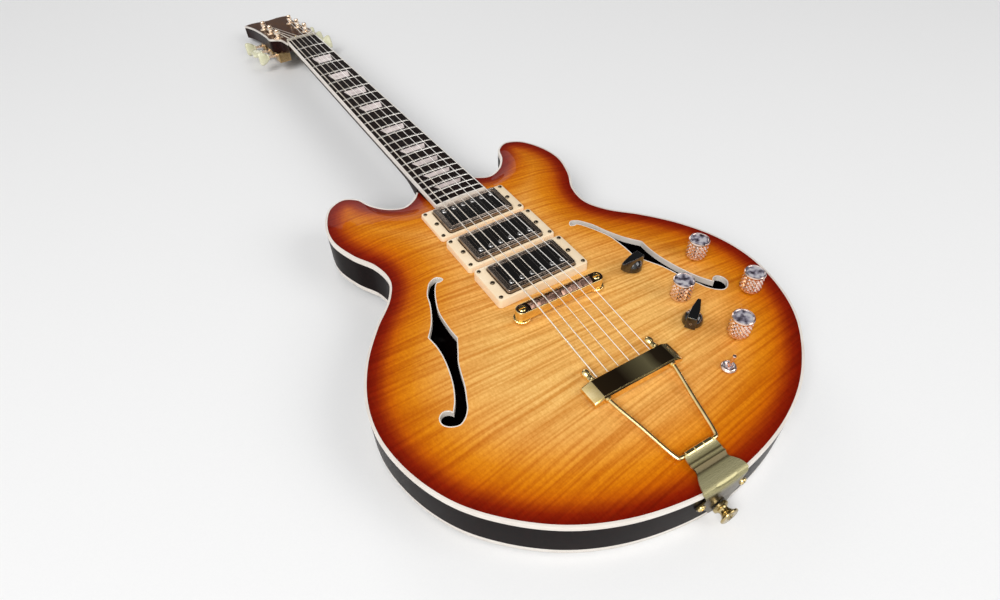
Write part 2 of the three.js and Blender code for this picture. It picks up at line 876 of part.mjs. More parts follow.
function buildNeck() {
  const heelStart = neckJoinReach + gap;
  const heelShares = [
    [0, 1],
    [0.2, 0.94],
    [0.4, 0.78],
    [0.6, 0.61],
    [0.8, 0.49],
  ];
  const rings = heelShares.map(([along, down]) => {
    const y = heelStart + heelLength * along;
    return neckSection(y, woodTop, boardHalf(y), heelDepth * down, 2.4);
  });
  const shaftStart = heelStart + heelLength;
  rings.push(neckSection(shaftStart, woodTop, boardHalf(shaftStart), shaftDepthAtHeel, 2.3));
  const middle = (shaftStart + scaleLength) / 2;
  const middleDepth = (shaftDepthAtHeel + shaftDepthAtNut) / 2;
  rings.push(neckSection(middle, woodTop, boardHalf(middle), middleDepth, 2.2));
  const seatStart = scaleLength - 2 * nutThickness;
  const step = faceThickness + 2 * gap;
  rings.push(neckSection(seatStart, woodTop, nutWidth / 2, shaftDepthAtNut, 2.2));
  rings.push(neckSection(scaleLength, woodTop - step, nutWidth / 2 - gap, shaftDepthAtNut - step, 2.2));
  const headRings = [
    neckSection(nutThickness, headWoodTop - gap, nutWidth / 2 - 2 * gap, headThickness - 2 * gap, 2.6),
    neckSection(headLength * 0.18, headWoodTop - gap, nutWidth / 2 - 3 * gap, headThickness * 0.9, 3),
  ];
  headRings.forEach((ring) => rings.push(ring.map((p) => p.applyMatrix4(headFrame.matrix))));
  const bodySide = box(-boutHalf, boutHalf, 0, heelStart, -crownTop, 2 * crownTop);
  bodySide.applyMatrix4(guitarToNeck);
  const shaft = cut(loft(rings), bodySide);
  const head = prism(headOutline(), headWoodTop - headThickness, headWoodTop).applyMatrix4(headFrame.matrix);
  const nutSeat = box(
    gap - nutWidth / 2,
    nutWidth / 2 - gap,
    seatStart,
    scaleLength + nutThickness - gap,
    woodTop - shaftDepthAtNut / 2,
    woodTop,
  );
  const overTop = archedPlate(
    0,
    rimTop - topThickness,
    rimTop - topThickness,
    rimTop + gap,
    crownTop + gap,
  ).applyMatrix4(guitarToNeck);
  const tongueHalf = boardEndWidth / 2 - boardBinding;
  const tongueBox = box(
    -tongueHalf,
    tongueHalf,
    boardEnd,
    neckJoinReach + 2 * overrun,
    -boardLift - topArch,
    woodTop,
  );
  const tenon = tenonBox(0).applyMatrix4(guitarToNeck);
  const overTenon = box(-boutHalf, boutHalf, 0, scaleLength, woodTop, boardLift);
  const tongue = cut(tongueBox, overTop);
  const holes = tunerPlaces().map(({ x, y }) => {
    const hole = drum(sleeveRadius + gap, headWoodTop - headThickness - overrun, overrun, holeSides);
    return hole.translate(x, y, 0).applyMatrix4(headFrame.matrix);
  });
  const wood = join(shaft, head, nutSeat, tongue, cut(tenon, overTenon));
  piece("neck", cut(wood, rodChannel(), ...holes), darkLacquer, neckFrame);
}

function buildFingerboard() {
  const inner = boardBinding + gap;
  const start = boardEnd + inner;
  const board = loft([
    boardSection(start, boardHalf(start) - inner, -boardThickness, 0),
    boardSection(scaleLength, nutWidth / 2 - inner, -boardThickness, 0),
  ]);
  const frets = [];
  for (let fret = 1; fret <= fretCount; fret++) {
    const y = scaleLength * 2 ** (-fret / 12);
    const half = boardHalf(y) - inner - gap;
    frets.push(
      loft([
        boardSection(y - fretWidth / 2, half, -boardThickness / 2, -gap),
        boardSection(y, half, -boardThickness / 2, fretHeight),
        boardSection(y + fretWidth / 2, half, -boardThickness / 2, -gap),
      ]),
    );
  }
  piece("fingerboard", join(board, ...frets), darkWood, neckFrame);

  const whole = loft([
    boardSection(boardEnd, boardHalf(boardEnd), -boardThickness, 0),
    boardSection(scaleLength, nutWidth / 2, -boardThickness, 0),
  ]);
  const past = scaleLength + overrun;
  const inside = loft([
    boardSection(boardEnd + boardBinding, boardHalf(boardEnd) - boardBinding, -2 * boardThickness, overrun),
    boardSection(past, boardHalf(past) - boardBinding, -2 * boardThickness, overrun),
  ]);
  piece("fingerboard_binding", cut(whole, inside), cream, neckFrame);
}

// Where each string crosses the nut, in the neck's frame, and the saddles, in the guitar's
function stringAcross(index, spacing) {
  return spacing / 2 - (spacing * index) / (stringDiameters.length - 1);
}

function nutCrossing(index) {
  const height = fretHeight + stringOverFirstFret + stringDiameters[index] / 2;
  return new THREE.Vector3(stringAcross(index, spacingAtNut), scaleLength + nutThickness / 2, height);
}

const compensationShares = [0.42, 0.3, 0.16, 0.36, 0.24, 0.06];

function saddleCrossing(index) {
  const x = stringAcross(index, spacingAtBridge);
  const along = x * Math.tan(bridgeSlant) - bridgeSetBack;
  const y = along + (compensationShares[index] - 0.25) * bridgeWidth * 0.7;
  return new THREE.Vector3(x, y, crownTop + stringHeight);
}

function buildNut() {
  let nut = box(
    -nutWidth / 2,
    nutWidth / 2,
    scaleLength + gap,
    scaleLength + nutThickness - gap,
    -boardThickness,
    fretHeight + nutRise,
  );
  stringDiameters.forEach((diameter, index) => {
    const place = nutCrossing(index);
    const half = diameter / 2 + gap;
    const slot = box(
      place.x - half,
      place.x + half,
      scaleLength - overrun,
      scaleLength + nutThickness + overrun,
      place.z - half - gap,
      2 * boardThickness,
    );
    nut = cut(nut, slot);
  });
  piece("nut", nut, cream, neckFrame);
}

function buildHeadFace() {
  const channel = rodChannel().applyMatrix4(neckToHead);
  const holes = tunerPlaces().map(({ x, y }) =>
    drum(sleeveRadius + gap, -faceThickness - overrun, overrun, holeSides).translate(x, y, 0),
  );
  const start = box(
    -headHalf,
    headHalf,
    -overrun,
    2 * gap,
    -faceThickness - overrun,
    overrun,
  );
  const face = prism(headOutline(), -faceThickness, 0);
  piece("headstock_face", cut(face, start, channel, ...holes), blackLacquer, headFrame);

  const coverShares = [
    [0.45, 0.12],
    [0.75, 0.2],
    [1, 0.42],
    [0.8, 0.66],
    [0.42, 0.86],
    [0, 1],
  ];
  const half = smooth(spread(coverShares, coverHalf, coverLength), 1);
  const otherHalf = half.map((p) => new THREE.Vector2(-p.x, p.y)).reverse();
  const cover = prism([...half, ...otherHalf.slice(1)], gap, gap + coverThickness);
  piece("truss_rod_cover", cover, blackPlastic, headFrame);
}

function buildTrussRod() {
  const start = neckJoinReach + 3 * overrun;
  const end = scaleLength + nutThickness + coverLength * 0.6;
  const rod = drum(rodRadius, start, end, 10);
  const nut = drum(rodNutRadius, end - rodNutLength, end, 6);
  const anchor = box(
    -rodNutRadius,
    rodNutRadius,
    -rodNutRadius,
    rodNutRadius,
    start,
    start + rodNutLength,
  );
  const whole = join(rod, nut, anchor).rotateX(-Math.PI / 2).translate(0, 0, woodTop - rodSetDepth);
  piece("truss_rod", whole, steel, neckFrame);
}

// Six strings, each one tube from the tail bar over its saddle and the nut and round its post
function wrapPath(index) {
  const { side, x, y } = tunerPlaces()[index];
  const diameter = stringDiameters[index];
  const radius = postRadius + gap + diameter / 2;
  const pitch = diameter + wrapClearance;
  const steps = Math.round(wrapTurns * wrapSteps);
  const path = [];
  for (let k = 0; k <= steps; k++) {
    const turn = (2 * Math.PI * k) / wrapSteps;
    const angle = side > 0 ? Math.PI - turn : turn;
    const height = wrapHeight + pitch * (k / wrapSteps);
    path.push(new THREE.Vector3(x + radius * Math.cos(angle), y + radius * Math.sin(angle), height));
  }
  return path.map((p) => p.applyMatrix4(headFrame.matrixWorld));
}

// The least gap between parts of one tube that lie more than half a turn apart
function leastGap(path, diameter) {
  let least = Infinity;
  path.forEach((a, i) => {
    for (let k = i + Math.round(wrapSteps / 2); k < path.length; k++) {
      least = Math.min(least, a.distanceTo(path[k]) - diameter);
    }
  });
  return least;
}

function stringPath(index) {
  const saddle = saddleCrossing(index);
  const tail = new THREE.Vector3(
    saddle.x,
    gap - tailBarFront,
    crownTop + tailBarRise + tailBarHeight / 2,
  );
  const nut = nutCrossing(index).applyMatrix4(neckFrame.matrixWorld);
  return [tail, saddle, nut, ...wrapPath(index)];
}

function buildStrings() {
  const least = [];
  stringDiameters.forEach((diameter, index) => {
    const plain = index < 3;
    const string = tube(stringPath(index), diameter / 2, stringSides);
    piece(`string_${index + 1}`, string, plain ? stringSteel : stringWound, guitar);
    least.push(leastGap(wrapPath(index), diameter));
  });
  console.log("least gap between string wraps:", Math.min(...least).toFixed(3), "mm");
}

// Tuners, in the headstock's frame. Each has a case with its sleeve, a post with its wheel, and a button
// on its worm shaft, which lies beside the wheel towards the end of the headstock.
const caseTop = headWoodTop - headThickness - gap;
const wormOffset = wheelRadius + wormRadius + gap;

function tunerCase(side) {
  const low = caseTop - caseDepth;
  const after = wormOffset + wormRadius + gap + caseWall;
  const across = (a, b) => (side > 0 ? [a, b] : [-b, -a]);
  const shell = box(...across(-caseInner, caseOuter), -caseBefore, after, low, caseTop);
  const pocket = box(
    ...across(-caseInner - overrun, caseOuter - caseWall),
    caseWall - caseBefore,
    after - caseWall,
    low + caseWall,
    caseTop - caseWall,
  );
  const sleeve = drum(sleeveRadius, caseTop - caseWall, gap + bushingHeight, holeSides);
  const bushing = drum(bushingRadius, gap, gap + bushingHeight, 12);
  const bore = drum(postRadius + gap, caseTop - caseDepth / 2, bushingHeight + overrun, holeSides);
  const shaftHole = drum(shaftRadius + gap, 0, 2 * caseOuter, holeSides);
  shaftHole.rotateY((side * Math.PI) / 2).translate(0, wormOffset, caseTop - wormDepth);
  return cut(join(cut(shell, pocket), sleeve, bushing), bore, shaftHole);
}

function tunerPost() {
  const axis = caseTop - wormDepth;
  const post = drum(postRadius, axis - wheelThickness, postHeight, holeSides);
  const wheel = drum(wheelRadius, axis - wheelThickness / 2, axis + wheelThickness / 2, 14);
  return join(post, wheel);
}

// A button in its own frame: its shaft runs along X, outwards on the treble side
function tunerButton(side) {
  const edge = caseOuter + buttonClear;
  const shaft = drum(shaftRadius, -wormLength / 2 - gap, edge + buttonLength / 2, 6).rotateY(Math.PI / 2);
  const worm = drum(wormRadius, -wormLength / 2, wormLength / 2, 8).rotateY(Math.PI / 2);
  const half = buttonWidth / 2;
  const keystone = [
    [0, -half * 0.45],
    [0.14, -half * 0.62],
    [0.75, -half],
    [0.93, -half * 0.94],
    [1, -half * 0.7],
    [1, half * 0.7],
    [0.93, half * 0.94],
    [0.75, half],
    [0.14, half * 0.62],
    [0, half * 0.45],
  ].map(([share, y]) => new THREE.Vector2(edge + buttonLength * share, y));
  const plate = prism(keystone, -buttonThickness / 2, buttonThickness / 2);
  const button = join(shaft, worm, plate);
  return side > 0 ? button : button.rotateZ(Math.PI);
}

function buildTuners() {
  tunerPlaces().forEach(({ index, side, x, y }) => {
    const tuner = new THREE.Group();
    tuner.position.set(x, y, 0);
    headFrame.add(tuner);
    piece(`tuner_case_${index + 1}`, tunerCase(side), gold, tuner);
    piece(`tuner_post_${index + 1}`, tunerPost(), gold, tuner);
    const button = piece(`tuner_button_${index + 1}`, tunerButton(side), pearlButton, tuner);
    button.position.set(0, wormOffset, caseTop - wormDepth);
    button.rotation.x = buttonTurns[index];
  });
}

// Pickups
function buildPickups() {
  ringHeights.forEach((height, index) => {
    const place = new THREE.Group();
    place.position.set(0, pickupCentre(index), crownTop);
    guitar.add(place);
    const outer = roundedPlate(ringLength, ringWidth, ringCorner, gap, height);
    const window = roundedPlate(windowLength, windowWidth, coverCorner, -overrun, height + overrun);
    piece(`pickup_ring_${index + 1}`, cut(outer, window), cream, place);
    const top = height + pickupRise;
    const cover = roundedPlate(coverTopLength, coverTopWidth, coverCorner, top - pickupBodyDepth, top);
    piece(`humbucker_${index + 1}`, cover, chrome, place);
  });
}

// Bridge: one bar with its saddles on two threaded posts
function buildBridge() {
  const frame = new THREE.Group();
  frame.position.set(0, -bridgeSetBack, crownTop);
  frame.rotation.z = bridgeSlant;
  guitar.add(frame);
  frame.updateMatrixWorld(true);
  const top = bridgeRise + bridgeHeight;
  const bar = roundedPlate(bridgeLength, bridgeWidth, bridgeWidth * 0.46, bridgeRise, top);
  const saddles = stringDiameters.map((diameter, index) => {
    const crossing = frame.worldToLocal(saddleCrossing(index));
    const peak = crossing.z - diameter / 2 - gap;
    const ridge = saddleLength / 4;
    const profile = [
      new THREE.Vector2(-saddleLength / 2, bridgeHeight / 2),
      new THREE.Vector2(saddleLength / 2, bridgeHeight / 2),
      new THREE.Vector2(saddleLength / 2, top),
      new THREE.Vector2(ridge, peak),
      new THREE.Vector2(-ridge, peak),
      new THREE.Vector2(-saddleLength / 2, top),
    ];
    const wedge = prism(profile, -saddleWidth / 2, saddleWidth / 2);
    return wedge.rotateZ(Math.PI / 2).rotateY(Math.PI / 2).translate(crossing.x, crossing.y, 0);
  });
  const bores = sides.map((side) =>
    drum(bridgePostRadius + gap, 0, top + overrun, holeSides).translate(side * bridgePostAcross, 0, 0),
  );
  piece("bridge", cut(join(bar, ...saddles), ...bores), gold, frame);
  sides.forEach((side) => {
    const profile = [
      [bridgePostRadius, -bridgePostDepth],
      [bridgePostRadius, bridgeRise - gap - thumbwheelThickness],
      [thumbwheelRadius, bridgeRise - gap - thumbwheelThickness],
      [thumbwheelRadius, bridgeRise - gap],
      [bridgePostRadius, bridgeRise - gap],
      [bridgePostRadius, top + gap],
    ];
    const post = piece(`bridge_post_${side > 0 ? "treble" : "bass"}`, turned(profile, 12), gold, frame);
    post.position.x = side * bridgePostAcross;
  });
}

// Tailpiece: a bar on two rods with ball nuts, hinged on a bracket that folds over the end of the body
function buildTailpiece() {
  const barLow = crownTop + tailBarRise;
  const barHigh = barLow + tailBarHeight;
  const rodHeight = (barLow + barHigh) / 2;
  const barBack = tailBarFront + tailBarWidth;
  const rods = sides.map((side) => {
    const path = [
      new THREE.Vector3(side * trapezeRodAcross, -trapezeRodSetBack, rodHeight),
      new THREE.Vector3(side * trapezeRodAcross, -barBack - overrun, rodHeight),
      new THREE.Vector3(side * hingeHalf, -hingeSetBack + barrelRadius, hingeHeight),
      new THREE.Vector3(side * (barrelHalf + trapezeRodRadius + gap), -hingeSetBack, hingeHeight),
    ];
    return tube(path, trapezeRodRadius, holeSides);
  });
  const balls = sides.map((side) =>
    new THREE.SphereGeometry(ballRadius, 10, 6).translate(
      side * trapezeRodAcross,
      -trapezeRodSetBack,
      rodHeight,
    ),
  );
  const pin = drum(pinRadius, -barrelHalf - 2 * pinRadius, barrelHalf + 2 * pinRadius, 8);
  pin.rotateY(Math.PI / 2).translate(0, -hingeSetBack, hingeHeight);
  piece("tailpiece_rods", join(...rods, ...balls, pin), gold, guitar);

  const bevelLow = barLow + tailBarHeight * 0.35;
  const profile = [
    new THREE.Vector2(-tailBarHalf, barLow),
    new THREE.Vector2(tailBarHalf, barLow),
    new THREE.Vector2(tailBarHalf, bevelLow),
    new THREE.Vector2(tailBarFlatHalf, barHigh),
    new THREE.Vector2(-tailBarFlatHalf, barHigh),
    new THREE.Vector2(-tailBarHalf, bevelLow),
  ];
  const bar = prism(profile, tailBarFront, barBack).rotateX(Math.PI / 2);
  const bores = sides.map((side) => {
    const bore = drum(trapezeRodRadius + gap, tailBarFront - overrun, barBack + overrun, holeSides);
    return bore.rotateX(Math.PI / 2).translate(side * trapezeRodAcross, 0, rodHeight);
  });
  piece("tailpiece_bar", cut(bar, ...bores), gold, guitar);

  const plateLow = hingeHeight - barrelRadius;
  const plateHigh = plateLow + bracketThickness;
  const outside = gap + bracketThickness;
  const edge = tailReach + outside;
  const plan = [
    [barrelHalf, -hingeSetBack],
    [barrelHalf, -hingeSetBack - barrelRadius],
    [bracketNeckHalf, -hingeSetBack - 2 * barrelRadius],
    [bracketNeckHalf, -hingeSetBack - 4 * barrelRadius],
    [bracketEdgeHalf, -edge - overrun],
  ];
  const planRing = [...plan, ...plan.map(([x, y]) => [-x, y]).reverse()];
  const shelf = common(
    prism(planRing.map(([x, y]) => new THREE.Vector2(x, y)), plateLow, plateHigh),
    prism(inset(bodyRing, -outside), plateLow - overrun, plateHigh + overrun),
  );
  const front = [
    [bracketEdgeHalf, plateHigh],
    [bracketEdgeHalf, rimTop - bracketEarDrop],
    [bracketEarHalf, rimTop - bracketEarDrop - bracketEarHeight * 0.2],
    [bracketEarHalf, rimTop - bracketEarDrop - bracketEarHeight * 0.8],
    [bracketEdgeHalf, rimTop - bracketEarDrop - bracketEarHeight],
    [bracketFootHalf, rimTop - bracketFootDrop],
  ];
  const frontRing = [...front, ...front.map(([x, z]) => [-x, z]).reverse()];
  const frontPoints = frontRing.map(([x, z]) => new THREE.Vector2(x, z));
  const apron = common(
    prism(frontPoints, tailReach / 2, 2 * tailReach).rotateX(Math.PI / 2),
    cut(
      prism(inset(bodyRing, -outside), 0, 2 * crownTop),
      prism(inset(bodyRing, -gap), -overrun, 2 * crownTop + overrun),
    ),
  );
  const barrel = drum(barrelRadius, -barrelHalf, barrelHalf, 16).rotateY(Math.PI / 2);
  barrel.translate(0, -hingeSetBack, hingeHeight);
  const pinBore = drum(pinRadius + gap, -2 * barrelHalf, 2 * barrelHalf, holeSides).rotateY(Math.PI / 2);
  pinBore.translate(0, -hingeSetBack, hingeHeight);
  piece("tailpiece_bracket", cut(join(shelf, apron, barrel), pinBore), gold, guitar);
}

// Controls on the top, with the electrical parts under it joined by their wires
function buildControls() {
  knobPlaces.forEach(([x, y], index) => {
    const seat = seatHeight(x, y, knobRadius) + knobLift;
    const profile = [
      [knobRadius * 0.96, 0],
      [knobRadius, knobHeight * 0.06],
      [knobRadius, knobHeight * 0.94],
      [knobRadius * 0.94, knobHeight],
    ];
    const bore = drum(shaftBore, -overrun, controlShaftHeight, holeSides);
    const knob = piece(`knob_${index + 1}`, cut(turned(profile, 18), bore), chrome, guitar);
    knob.position.set(x, y, seat);
  });
  pointerPlaces.forEach(([x, y], index) => {
    const seat = seatHeight(x, y, pointerReach) + knobLift;
    const skirt = turned(
      [
        [pointerRadius, 0],
        [pointerRadius, pointerHeight * 0.3],
        [pointerRadius * 0.8, pointerHeight * 0.5],
      ],
      16,
    );
    const blade = [
      [-pointerRadius * 0.95, -pointerBladeHalf * 0.8],
      [0, -pointerBladeHalf],
      [pointerReach * 0.75, -pointerBladeHalf * 0.55],
      [pointerReach, 0],
      [pointerReach * 0.75, pointerBladeHalf * 0.55],
      [0, pointerBladeHalf],
      [-pointerRadius * 0.95, pointerBladeHalf * 0.8],
    ].map(([u, v]) => new THREE.Vector2(u, v));
    const bore = drum(shaftBore, -overrun, pointerHeight * 0.7, holeSides);
    const shape = cut(join(skirt, prism(blade, 0, pointerHeight)), bore);
    const knob = piece(`pointer_knob_${index + 1}`, shape, blackPlastic, guitar);
    knob.position.set(x, y, seat);
    knob.rotation.z = pointerTurns[index];
  });
}

function harnessUnit(x, y, radius, shaftTop) {
  const top = ceilingHeight(x, y, radius) - gap;
  const can = drum(radius, top - potHeight, top, 12).translate(x, y, 0);
  const shaft = drum(controlShaftRadius, top - potHeight / 2, shaftTop, holeSides).translate(x, y, 0);
  return { parts: [can, shaft], heart: new THREE.Vector3(x, y, top - potHeight / 2) };
}

function buildHarness() {
  const units = [];
  knobPlaces.forEach(([x, y]) => {
    const shaftTop = seatHeight(x, y, knobRadius) + knobLift + controlShaftHeight - 2 * gap;
    units.push(harnessUnit(x, y, potRadius, shaftTop));
  });
  pointerPlaces.forEach(([x, y]) => {
    const shaftTop = seatHeight(x, y, pointerReach) + knobLift + pointerHeight * 0.7 - 2 * gap;
    units.push(harnessUnit(x, y, switchRadius, shaftTop));
  });
  const [tx, ty] = togglePlace;
  const toggleSeat = seatHeight(tx, ty, toggleNutRadius) + gap;
  const ceiling = ceilingHeight(tx, ty, toggleBodyHalf * 1.5) - gap;
  const leverRoom = [
    [toggleStemRadius + 3 * gap, ceiling],
    [toggleRadius - gap, toggleSeat + toggleNutHeight + gap],
  ];
  const toggle = cut(
    join(
      box(
        -toggleBodyHalf,
        toggleBodyHalf,
        -toggleBodyHalf * 1.4,
        toggleBodyHalf * 1.4,
        ceiling - toggleBodyDepth,
        ceiling,
      ),
      drum(toggleRadius, ceiling - toggleBodyDepth / 2, toggleSeat + toggleNutHeight / 2, holeSides),
      turned(
        [
          [toggleNutRadius, toggleSeat],
          [toggleNutRadius * 0.9, toggleSeat + toggleNutHeight * 0.5],
          [toggleNutRadius * 0.6, toggleSeat + toggleNutHeight],
        ],
        20,
      ),
    ),
    turned(leverRoom, holeSides),
  ).translate(tx, ty, 0);
  const heart = new THREE.Vector3(tx, ty, ceiling - toggleBodyDepth / 2);

  const jack = jackFrame();
  const jackDepth = rimWall + jackBodyLength + 2 * gap;
  const jackEnd = new THREE.Vector3(0, 0, -jackDepth).applyMatrix4(jack.matrix);
  const straightEnd = new THREE.Vector3(0, 0, -jackDepth - 5 * wireRadius).applyMatrix4(jack.matrix);
  const order = [0, 4, 1, 5, 3, 2];
  const hearts = order.map((i) => units[i].heart);
  const wires = [tube(hearts, wireRadius, 6)];
  wires.push(tube([units[3].heart, heart], wireRadius, 6));
  wires.push(tube([jackEnd, straightEnd, units[2].heart], wireRadius, 6));
  piece("wiring_harness", join(...units.flatMap((unit) => unit.parts), toggle, ...wires), steel, guitar);

  const stemLow = ceiling + gap;
  const pivot = toggleSeat;
  const lever = turned(
    [
      [toggleStemRadius * 0.5, stemLow - pivot],
      [toggleStemRadius, 0],
      [toggleStemRadius, toggleLeverLength * 0.35],
      [toggleTipRadius, toggleLeverLength * 0.8],
      [toggleTipRadius * 0.8, toggleLeverLength],
    ],
    12,
  );
  const mesh = piece("toggle_lever", lever, chrome, guitar);
  mesh.position.set(tx, ty, pivot);
  mesh.rotation.y = toggleLean;

  const innerFace = -rimWall - gap;
  const body = join(
    drum(jackFlangeRadius, gap, gap + jackFlangeThickness, 16),
    drum(jackBarrelRadius, innerFace - overrun, gap + jackFlangeThickness / 2, holeSides),
    drum(jackBodyRadius, innerFace - jackBodyLength, innerFace, holeSides),
  );
  const bore = drum(jackBore, innerFace - jackBodyLength * 0.8, 2 * jackFlangeThickness + overrun, holeSides);
  const jackMesh = piece("output_jack", cut(body, bore), chrome, guitar);
  jackMesh.position.copy(jack.position);
  jackMesh.quaternion.copy(jack.quaternion);
}

function buildStrapButtons() {
  const profile = [
    [strapBaseRadius, 0],
    [strapWaistRadius, strapLength * 0.3],
    [strapWaistRadius, strapLength * 0.55],
    [strapFlangeRadius, strapLength * 0.88],
    [strapFlangeRadius * 0.85, strapLength],
  ];
  const tail = piece("strap_button_tail", turned(profile, 14), gold, guitar);
  tail.position.set(0, -tailReach - 2 * gap - bracketThickness, tailButtonHeight);
  tail.rotation.x = Math.PI / 2;
  const heel = piece("strap_button_heel", turned(profile, 14), gold, neckFrame);
  heel.position.set(0, neckJoinReach + heelLength * 0.22, woodTop - heelDepth - gap);
  heel.rotation.x = Math.PI;
}

buildBody();
buildNeck();
buildFingerboard();
buildNut();
buildHeadFace();
buildTrussRod();
buildStrings();
buildTuners();
buildPickups();
buildBridge();
buildTailpiece();
buildControls();
buildHarness();
buildStrapButtons();

// The guitar is tilted until the tail end of the back's crown and the lowest tuner case share one level
guitar.updateMatrixWorld(true);
const crownTail = Math.min(...crownRing.map((p) => p.y));
const lowestSlope = Math.min(
  ...guitar.getObjectsByProperty("isMesh", true)
    .filter((mesh) => mesh.name.startsWith("tuner_case"))
    .map((mesh) => {
      const bounds = new THREE.Box3().setFromObject(mesh, true);
      return bounds.min.z / (bounds.max.y - crownTail);
    }),
);
guitar.rotation.x = -Math.atan(lowestSlope);

const assembly = new THREE.Group();
assembly.add(guitar);

export default assembly;
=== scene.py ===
import json
import math

import bmesh
import bpy
import numpy as np
from mathutils import Matrix, Vector
from mathutils.bvhtree import BVHTree

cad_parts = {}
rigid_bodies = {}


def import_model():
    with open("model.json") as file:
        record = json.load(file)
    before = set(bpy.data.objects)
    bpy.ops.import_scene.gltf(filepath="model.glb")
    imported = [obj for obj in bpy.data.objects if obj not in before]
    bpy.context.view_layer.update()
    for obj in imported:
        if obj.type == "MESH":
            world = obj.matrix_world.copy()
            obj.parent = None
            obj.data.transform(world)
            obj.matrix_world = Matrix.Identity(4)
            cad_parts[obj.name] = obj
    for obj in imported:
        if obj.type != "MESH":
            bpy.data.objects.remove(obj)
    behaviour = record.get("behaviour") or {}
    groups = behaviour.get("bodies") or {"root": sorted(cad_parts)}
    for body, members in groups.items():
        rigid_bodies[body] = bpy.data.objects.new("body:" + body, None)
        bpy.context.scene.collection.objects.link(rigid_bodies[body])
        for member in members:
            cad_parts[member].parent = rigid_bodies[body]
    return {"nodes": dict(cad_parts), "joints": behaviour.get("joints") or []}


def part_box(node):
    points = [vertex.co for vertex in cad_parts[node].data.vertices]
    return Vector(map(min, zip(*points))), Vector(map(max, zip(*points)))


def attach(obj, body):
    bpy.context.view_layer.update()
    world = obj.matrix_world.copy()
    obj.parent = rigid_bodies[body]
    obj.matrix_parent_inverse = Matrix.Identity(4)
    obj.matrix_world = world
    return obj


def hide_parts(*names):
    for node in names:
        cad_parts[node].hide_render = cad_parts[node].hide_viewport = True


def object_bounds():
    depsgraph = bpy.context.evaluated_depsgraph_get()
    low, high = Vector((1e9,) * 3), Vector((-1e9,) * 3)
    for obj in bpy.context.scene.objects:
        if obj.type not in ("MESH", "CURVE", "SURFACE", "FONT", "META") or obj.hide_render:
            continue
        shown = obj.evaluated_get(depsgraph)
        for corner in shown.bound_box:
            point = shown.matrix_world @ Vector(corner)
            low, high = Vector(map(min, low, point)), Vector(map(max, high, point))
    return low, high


for leftover in list(bpy.data.objects):
    bpy.data.objects.remove(leftover)
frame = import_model()
cad_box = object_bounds()

# %% [markdown]
# ## Three frames to work in
# A luthier measures the body from its back, the neck from the plane of the fingerboard, and the headstock
# from the nut. The same three frames are kept here, in millimetres. The guitar rests on the crown of its
# back and on two tuner cases, so the whole of it leans a little; a knob's own axis tells by how much.
# %% Frames of the body, the neck and the headstock
MM = 0.001
TURN = 2 * math.pi
QUARTER = math.pi / 2
CROWN = 49.0
RIM_TOP = 44.0
SCALE = 628.0
NUT = 5.0
BOARD = 6.0


def move(x, y, z=0.0):
    return Matrix.Translation((x, y, z))


def spin(angle, axis="Z"):
    return Matrix.Rotation(angle, 4, axis)


knob_axis = next(j["axis"] for j in frame["joints"] if j["name"] == "knob_1_turn")
lean = math.atan2(-knob_axis[1], knob_axis[2])
nut_place, head_tilt = move(0, SCALE + NUT, -BOARD), spin(math.radians(-9.5), "X")
GUITAR = spin(lean, "X") @ Matrix.Scale(MM, 4)
NECK = GUITAR @ move(0, 0, CROWN + 10.9) @ spin(math.radians(-1.25), "X")
HEAD = NECK @ nut_place @ head_tilt
print("the guitar leans by", round(math.degrees(lean), 3), "degrees")

# %% [markdown]
# ## The camera
# The photograph was taken close, with a wide lens, from above the bass side of the tail. The camera's place
# and its three directions were worked out from points whose real places are known, such as the bridge, the
# nut and the ends of the bindings. The lens axis meets the picture below its middle, so the frame is
# shifted up by that share of its width.
# %% The camera
eye = Vector((-0.23315, -0.30513, 0.42242))
right = Vector((0.8513, -0.52400, -0.02638))
upward = Vector((0.4033, 0.62138, 0.67180))
ahead = Vector((0.3356, 0.58261, -0.74026))
camera = bpy.data.objects.new("studio_camera", bpy.data.cameras.new("studio_camera"))
bpy.context.scene.collection.objects.link(camera)
camera.data.sensor_width = 36
camera.data.lens = 22.66
camera.data.shift_y = 0.04
camera.data.clip_start = 0.01
camera.matrix_world = Matrix.Translation(eye) @ Matrix((right, upward, -ahead)).transposed().to_4x4()
bpy.context.scene.camera = camera
bpy.context.scene.view_settings.view_transform = "Standard"
print("the camera stands", round(eye.length, 3), "m from the guitar's origin")

# %% [markdown]
# ## Shader maths as Python
# A finish is a small sum of patterns. One class wraps a socket, so that +, - and * add Math nodes, and one
# class holds a material and makes every other node. It is longer than wiring two or three nodes by hand and
# much shorter than wiring two hundred.
# %% A socket that can be reckoned with
class Field:
    """A number, colour or vector that varies over a surface."""

    def __init__(self, finish, socket):
        self.finish, self.socket = finish, socket

    def also(self, output):
        """Another output of the same node."""
        return Field(self.finish, self.socket.node.outputs[output])

    def maths(self, operation, *others):
        inputs = dict(enumerate([self, *others]))
        return self.finish.node("ShaderNodeMath", {"operation": operation}, inputs)

    def __add__(self, other):
        return self.maths("ADD", other)

    def __sub__(self, other):
        return self.maths("SUBTRACT", other)

    def __mul__(self, other):
        return self.maths("MULTIPLY", other)


# %% Colours
def paint(red, green, blue):
    """A colour as the eye names it, from 0 to 255, turned into light."""
    def light(share):
        return share / 12.92 if share <= 0.04045 else ((share + 0.055) / 1.055) ** 2.4

    return (light(red / 255), light(green / 255), light(blue / 255), 1.0)


print("amber in light:", [round(c, 3) for c in paint(236, 174, 92)])


